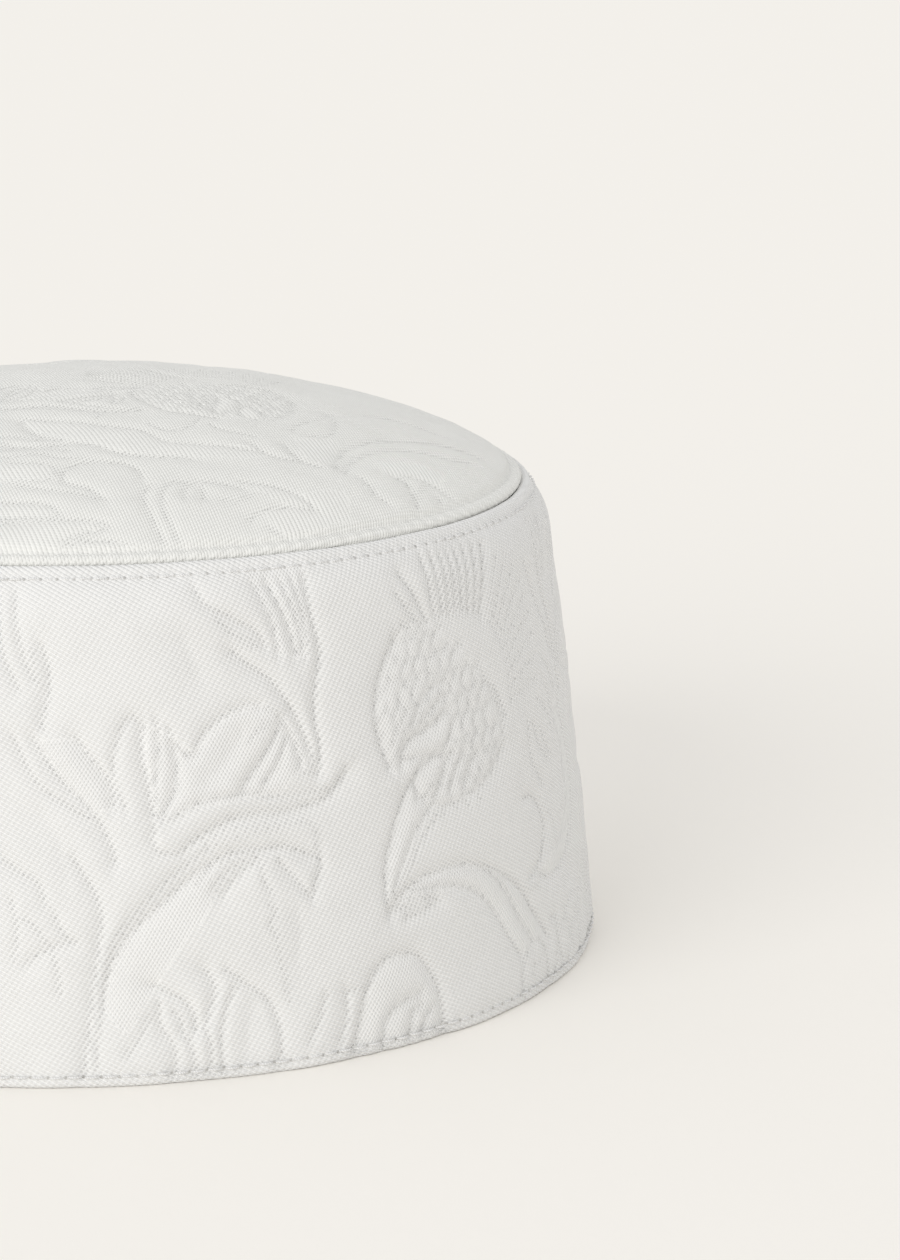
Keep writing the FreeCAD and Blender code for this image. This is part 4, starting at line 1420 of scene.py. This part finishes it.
@dataclass
class BandCloth(TurnedCloth):
    """The band: quilted cloth folded round the hem and over the shoulder to the crown seam."""

    rows: tuple[StitchRow, ...] = ()
    puff: float = 0.18
    waves: tuple[SlowWaves, ...] = (SlowWaves(7, 26.0, 0.16), SlowWaves(8, 9.0, 0.06))
    wave_radius: float = 95.0
    hem_fade: Point = (-0.5, 1.0)
    edge_fade: Point = (90.5, 88.0)
    seam_fade: Point = (86.4, 84.2)
    faint_stretch: Point = (98.0, 118.0)
    faint_share: float = 0.5
    fold: Ridge = Ridge(89.2, 0.8, 0.42)
    back_seam: Ridge = Ridge(0.0, 0.8, 0.75)
    allowance_height: float = 0.28
    allowance_width: float = 8.6
    allowance_edge: float = 0.35

    def flat(self, turn: float, run: float) -> Point:
        """Place on the flat cut, with zero at the front and at the hem."""
        return turn * BAND_RADIUS, run - self.hem_run

    @property
    def hem_run(self) -> float:
        """Run along the section at the lowest point of the hem."""
        return self.line.stops[3]

    def seam_drop(self, turns: np.ndarray) -> np.ndarray:
        """How far the back seam is sunk between the swells of its two allowances.

        Args:
            turns: turns from the front, in radians.

        Returns:
            The drop at each place, in millimetres.
        """
        to_seam = np.abs(np.abs(turns) - math.pi) * BAND_RADIUS
        swell = self.allowance_height / (1.0 + np.exp((to_seam - self.allowance_width) / self.allowance_edge))
        return self.back_seam.over(to_seam) - swell

    def build(self, pattern: Pattern) -> None:
        """Make the cage, map it, cut it fine and quilt it.

        Args:
            pattern: the figures of one repeat.
        """
        self.build_cage()
        self.map_cage()
        self.subdivide()
        places = self.read_map()
        turns, rises = places[:, 0] / BAND_RADIUS, places[:, 1]
        section, normals = self.line.at(rises + self.hem_run)
        along = (places[:, 0] - REPEAT_START) % PATTERN_REPEAT + REPEAT_START
        relief = pattern.press(np.stack([along, rises], axis=1))
        outside = ramp(rises, *self.hem_fade) * ramp(rises, *self.edge_fade)
        around = np.stack([np.sin(turns) * self.wave_radius, np.cos(turns) * self.wave_radius, rises], axis=1)
        wavy = sum(waves.over(around) for waves in self.waves)
        pull = sum(row.pull(turns, rises) for row in self.rows)
        sewn = ramp(rises, *self.seam_fade) * (1.0 - self.faint_share * ramp(along, *self.faint_stretch))
        height = (relief.height * sewn + self.puff + wavy - pull - self.seam_drop(turns)) * outside
        section = section + normals * (height + self.fold.over(rises))[:, None]
        section[:, 1] = np.maximum(section[:, 1], 0.0)
        self.write(turned_points(turns, section), {
            CREASE_LAYER: relief.crease * outside * sewn, FIGURE_LAYER: relief.figure})


@dataclass
class CrownCloth(TurnedCloth):
    """The crown: a quilted round whose edge rolls over a lip and down into the seam."""

    quilting: float = 0.62
    puff: float = 0.1
    waves: tuple[SlowWaves, ...] = (SlowWaves(11, 24.0, 0.13), SlowWaves(12, 8.0, 0.05))
    rim_fade: Point = (81.6, 79.6)
    rim: Ridge = Ridge(81.7, 0.75, -0.65)
    puckers: Ridge = Ridge(82.8, 1.8, 0.12)
    pucker_count: int = 151
    pucker_drift: int = 17
    lip: Ridge = Ridge(83.9, 0.8, 0.46)

    def flat(self, turn: float, run: float) -> Point:
        """Place on the flat round, from its middle."""
        left = self.line.length - run
        return left * math.sin(turn), -left * math.cos(turn)

    def build(self, pattern: Pattern) -> None:
        """Make the cage, map it, cut it fine and quilt it.

        Args:
            pattern: the figures of the round.
        """
        self.build_cage()
        self.map_cage()
        self.subdivide()
        places = self.read_map()
        reach = np.hypot(places[:, 0], places[:, 1])
        turns = np.arctan2(places[:, 0], -places[:, 1])
        section, normals = self.line.at(self.line.length - reach)
        relief = pattern.press(places)
        inside = ramp(reach, *self.rim_fade)
        wavy = sum(waves.over(places) for waves in self.waves)
        gathers = np.sin(turns * self.pucker_count + np.sin(turns * self.pucker_drift))
        edge = self.rim.over(reach) + self.puckers.over(reach) * gathers + self.lip.over(reach)
        height = (self.quilting * relief.height + self.puff + wavy) * inside + edge
        section = section + normals * height[:, None]
        self.write(turned_points(turns, section), {
            CREASE_LAYER: relief.crease * inside, FIGURE_LAYER: relief.figure})


@dataclass
class LiningCloth(TurnedCloth):
    """A thin lining or tape with soft folds, which lie still near its sewn edges."""

    slack: float = 0.25
    outward: float = 1.0
    fold_reach: float = 22.0
    fold_seed: int = 21
    fold_radius: float = 88.0
    fold_upright: float = 0.35
    edge_fade: float = 4.0

    def flat(self, turn: float, run: float) -> Point:
        """Place on the flat cut, or on the flat round where the lining closes at the top.

        Args:
            turn: turn from the front, in radians.
            run: distance along the section, in millimetres.

        Returns:
            The place, in millimetres.
        """
        if self.closed_top:
            left = self.line.length - run
            return left * math.sin(turn), -left * math.cos(turn)
        return turn * BAND_RADIUS, run

    def build(self) -> None:
        """Make the cage, map it, cut it fine and let it hang in soft folds."""
        self.build_cage()
        self.map_cage()
        self.subdivide()
        places = self.read_map()
        if self.closed_top:
            turns = np.arctan2(places[:, 0], -places[:, 1])
            runs = self.line.length - np.hypot(places[:, 0], places[:, 1])
            around = np.stack([places[:, 0], places[:, 1], np.zeros(len(places))], axis=1)
            still = ramp(runs, 0.0, self.edge_fade)
        else:
            turns, runs = places[:, 0] / BAND_RADIUS, places[:, 1]
            across = np.stack([np.sin(turns), np.cos(turns)], axis=1) * self.fold_radius
            around = np.column_stack([across, runs * self.fold_upright])
            still = ramp(runs, 0.0, self.edge_fade) * ramp(self.line.length - runs, 0.0, self.edge_fade)
        section, normals = self.line.at(runs)
        folds = SlowWaves(self.fold_seed, self.fold_reach, self.slack).over(around)
        section = section + normals * (folds * still * self.outward)[:, None]
        self.write(turned_points(turns, section), {})


@dataclass
class StitchedRow:
    """Real stitches along one row of the band, each a short arched length of thread."""

    name: str
    row: StitchRow
    line: ClothLine
    hem_run: float
    thickness: float = 0.46
    sides: int = 6
    cuts: tuple[float, ...] = (-0.3, 0.0, 0.3)
    length_share: float = 0.84
    thinning: float = 1.6
    rise: float = 0.16
    arch: float = 2.1
    sink: float = 0.10
    wobble: float = 0.05
    wobble_step: float = 2.4
    obj: bpy.types.Object = field(init=False, default=None)

    def one_stitch(self) -> tuple[np.ndarray, list[list[int]]]:
        """Model one stitch as a capped tube with five rings.

        Returns:
            Its points along, across and above the row in millimetres, and its faces.
        """
        clear_selection()
        bpy.ops.mesh.primitive_cylinder_add(
            vertices=self.sides, radius=self.thickness / 2, depth=1.0, end_fill_type="NGON")
        tube = bpy.context.object
        bpy.ops.object.mode_set(mode="EDIT")
        for height in self.cuts:
            bpy.ops.mesh.select_all(action="SELECT")
            bpy.ops.mesh.bisect(plane_co=(0.0, 0.0, height), plane_no=(0.0, 0.0, 1.0))
        bpy.ops.object.mode_set(mode="OBJECT")
        points = np.array([vertex.co for vertex in tube.data.vertices])
        faces = [list(face.vertices) for face in tube.data.polygons]
        bpy.data.objects.remove(tube)
        run = points[:, 2]
        thin = 1.0 - self.thinning * run**2
        along = run * self.row.pitch * self.length_share
        above = points[:, 0] * thin + self.rise - self.arch * run**2
        return np.stack([along, points[:, 1] * thin, above], axis=1), faces

    def build(self) -> None:
        """Lay the stitches round the band and make them one mesh."""
        stitch, faces = self.one_stitch()
        place, normal = self.line.at(np.array([self.row.run + self.hem_run]))
        tangent = np.array([-normal[0][1], normal[0][0]])
        points, everything, marks = [], [], []
        for index in range(self.row.count):
            middle = (index + 0.5) * FULL_TURN / self.row.count
            wobble = self.wobble * math.sin(index * self.wobble_step)
            turns = middle + stitch[:, 0] / place[0][0]
            section = place + tangent * (stitch[:, 1:2] + wobble) + normal * (stitch[:, 2:3] - self.sink)
            start = len(points) * len(stitch)
            points.append(turned_points(turns, section))
            everything += [[start + corner for corner in face] for face in faces]
            marks.append(stitch[:, :2])
        mesh = bpy.data.meshes.new(self.name)
        mesh.from_pydata((np.vstack(points) * MM).tolist(), [], everything)
        self.obj = bpy.data.objects.new(self.name, mesh)
        bpy.context.scene.collection.objects.link(self.obj)
        layer = mesh.uv_layers.new(name=CLOTH_MAP)
        corners = np.zeros(len(mesh.loops), np.int32)
        mesh.loops.foreach_get("vertex_index", corners)
        layer.data.foreach_set("uv", np.vstack(marks)[corners].astype(np.float32).ravel())
        mesh.polygons.foreach_set("use_smooth", np.ones(len(mesh.polygons), bool))
        mesh.update()

    def dress(self, material: bpy.types.Material, node: str) -> None:
        """Finish the row and let it stand for its CAD thread.

        Args:
            material: the thread's finish.
            node: the CAD thread that it stands for.
        """
        self.obj.data.materials.append(material)
        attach(self.obj, BODY)
        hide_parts(node)
        logger.info("%s, %d stitches", self.name, self.row.count)


@dataclass(frozen=True)
class Studio:
    """Camera, light and floor."""

    camera_place: tuple[float, float, float] = (0.0, -0.7097, 0.2187)
    lens: float = 109.83
    sensor: float = 36.0
    yaw: float = 5.458
    pitch: float = 12.861
    sun_turn: float = 39.0
    sun_rise: float = 17.0
    sun_strength: float = 1.27
    sun_size: float = 45.0
    fill_turn: float = -85.0
    fill_rise: float = 25.0
    fill_strength: float = 0.10
    fill_size: float = 90.0
    sky: float = 0.83
    floor_reach: float = 12.0

    def add_camera(self) -> None:
        """Stand the camera where the photograph was taken."""
        data = bpy.data.cameras.new("photo_camera")
        data.lens, data.sensor_width = self.lens, self.sensor
        data.clip_start, data.clip_end = 0.01, 100.0
        camera = bpy.data.objects.new("photo_camera", data)
        camera.location = self.camera_place
        camera.rotation_euler = (math.radians(90.0 - self.pitch), 0.0, -math.radians(self.yaw))
        bpy.context.scene.collection.objects.link(camera)
        bpy.context.scene.camera = camera

    @staticmethod
    def add_lamp(name: str, turn: float, rise: float, strength: float, size: float) -> None:
        """Hang a large soft lamp.

        Args:
            name: name of the lamp.
            turn: how far to the left of the front it hangs, in degrees.
            rise: its height over the floor, in degrees.
            strength: its strength.
            size: how wide it looks from the cap, in degrees.
        """
        data = bpy.data.lights.new(name, "SUN")
        data.energy = strength
        data.angle = math.radians(size)
        lamp = bpy.data.objects.new(name, data)
        lamp.rotation_euler = (math.radians(90.0 - rise), 0.0, -math.radians(turn))
        bpy.context.scene.collection.objects.link(lamp)

    def add_light(self) -> None:
        """Light the cap by a window at the front left, a pale wall at the right and an even room."""
        self.add_lamp("window_light", self.sun_turn, self.sun_rise, self.sun_strength, self.sun_size)
        self.add_lamp("wall_bounce", self.fill_turn, self.fill_rise, self.fill_strength, self.fill_size)
        world = bpy.data.worlds.new("pale_room")
        world.use_nodes = True
        background = world.node_tree.nodes["Background"]
        background.inputs["Color"].default_value = (1.0, 1.0, 1.0, 1.0)
        background.inputs["Strength"].default_value = self.sky
        bpy.context.scene.world = world
        bpy.context.scene.view_settings.view_transform = "Standard"

    def add_floor(self) -> None:
        """Lay a wide matt floor under the hem."""
        clear_selection()
        bpy.ops.mesh.primitive_plane_add(size=2 * self.floor_reach)
        floor = bpy.context.object
        floor.name = "paper_floor"
        floor.data.materials.append(FloorFinish().material())


BAND_DAMASK = DamaskFinish()
CROWN_DAMASK = DamaskFinish(
    "quilted_damask_crown", light=(0.845, 0.842, 0.809), shade=(0.68, 0.677, 0.648),
    ground=(WeaveLine(0.57, 15.0, 0.46), WeaveLine(0.80, -52.0, 0.4)),
    figure=(WeaveLine(0.80, 17.0, 0.62), WeaveLine(0.60, 80.0, 0.2)), weave_depth=0.10)
LINING_WEAVE = PlainWeaveFinish(
    "lining_weave", light=(0.80, 0.795, 0.78), shade=(0.70, 0.695, 0.68),
    yarn_pitch=0.30, rib_pitch=0.9)
TAPE_WEAVE = PlainWeaveFinish(
    "sweatband_tape_weave", light=(0.80, 0.79, 0.765), shade=(0.66, 0.65, 0.62),
    yarn_pitch=0.45, rib_pitch=1.1, weave_depth=0.12)


@dataclass
class QuiltedCap:
    """The whole cap, from its outer cloth to its sweatband."""

    section: CapSection = CapSection()
    hem_row: StitchRow = StitchRow(run=2.6, pitch=3.0, count=199)
    seam_row: StitchRow = StitchRow(run=86.9, pitch=2.8, count=188)
    band_mean_radius: float = 92.0
    wall_lining_mean_radius: float = 86.0
    tape_mean_radius: float = 88.3

    @staticmethod
    def declare_strip(cloth: TurnedCloth, mean_radius: float, held: str, rests_on: str) -> None:
        """Do nothing with a strip that was cut straight and closed to a ring.

        Args:
            cloth: the turned strip; not used.
            mean_radius: its mean distance from the Z axis, in millimetres; not used.
            held: how it is held; not used.
            rests_on: the piece that it rests on; not used.
        """

    @staticmethod
    def declare_round(cloth: TurnedCloth, held: str, rests_on: str) -> None:
        """Do nothing with a cloth that was cut as a round.

        Args:
            cloth: the turned round; not used.
            held: how it is held; not used.
            rests_on: the piece that it rests on; not used.
        """

    def build_outside(self) -> None:
        """Build the band, the crown and their topstitching."""
        rows = (self.hem_row, self.seam_row)
        damask = replace(BAND_DAMASK, rows=rows).material()
        crown_damask = CROWN_DAMASK.material()
        thread = ThreadFinish().material()

        band = BandCloth("band_cloth", self.section.band_line(), columns=183, crowding=0.3, rows=rows)
        band.build(Pattern(BAND_FIGURES))
        band.dress(damask, "outer_cloth", "band_shell")
        self.declare_strip(band, self.band_mean_radius, "stretched", "band_stiffener")

        crown = CrownCloth("crown_cloth", self.section.crown_line(), columns=160, crowding=0.2,
                           closed_top=True)
        crown.build(Pattern(CROWN_FIGURES))
        crown.dress(crown_damask, "outer_cloth", "crown_shell")
        self.declare_round(crown, "stretched", "band_cloth")

        for name, row, node in (("hem_stitches", self.hem_row, "hem_topstitch_thread"),
                                ("crown_seam_stitches", self.seam_row, "crown_topstitch_thread")):
            stitches = StitchedRow(name, row, band.line, band.hem_run)
            stitches.build()
            stitches.dress(thread, node)

    def build_lining(self) -> None:
        """Build the lining's wall and its round top."""
        weave = LINING_WEAVE.material()
        wall = ClothLine(90.70, 7.61).line_to(81.1, 74.6, rings=8).line_to(77.4, 81.6, rings=2)
        wall_lining = LiningCloth("band_lining_cloth", wall, columns=90, outward=-1.0)
        wall_lining.build()
        wall_lining.dress(weave, "lining_cloth", "band_lining")
        self.declare_strip(wall_lining, self.wall_lining_mean_radius, "hung", "sweatband_tape")

        dome = ClothLine(81.0, 79.2).line_to(76.2, 84.5, rings=1)
        dome.arc((0.0, -62.3), 166.2, 62.7, 90.0, rings=14)
        top_lining = LiningCloth("crown_lining_cloth", dome, columns=72, closed_top=True, slack=0.3)
        top_lining.build()
        top_lining.dress(weave, "lining_cloth", "crown_lining")
        self.declare_round(top_lining, "hung", "crown_cloth")

    def build_sweatband(self) -> None:
        """Build the sweatband: its sewn edge, its flare and its upright part, folded over at the top."""
        tape = ClothLine(92.55, 2.5).line_to(91.24, 2.0, rings=1).line_to(87.82, 7.0, rings=2)
        tape.line_to(87.82, 20.0, rings=4).line_to(88.62, 20.0, rings=1)
        tape.line_to(88.62, 8.0, rings=3)
        sweatband = LiningCloth("sweatband_tape", tape, columns=120, slack=0.05, outward=-1.0)
        sweatband.build()
        sweatband.dress(TAPE_WEAVE.material(), "sweatband_tape", "sweatband")
        self.declare_strip(sweatband, self.tape_mean_radius, "stretched", "band_cloth")

    def dress_stiffener(self) -> None:
        """Give the CAD stiffener its finish; it stays in place between the band's folds."""
        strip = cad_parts["band_stiffener"]
        strip.data.materials.clear()
        strip.data.materials.append(FeltedStripFinish().material())
        logger.info("band stiffener dressed")


def main() -> None:
    """Build the studio and the cap, piece by piece."""
    logging.basicConfig(level=logging.INFO, format="%(name)s: %(message)s")
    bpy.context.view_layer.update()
    studio = Studio()
    studio.add_camera()
    studio.add_light()
    studio.add_floor()

    cap = QuiltedCap()
    cap.build_outside()
    cap.build_lining()
    cap.build_sweatband()
    cap.dress_stiffener()


if __name__ == "__main__":
    main()
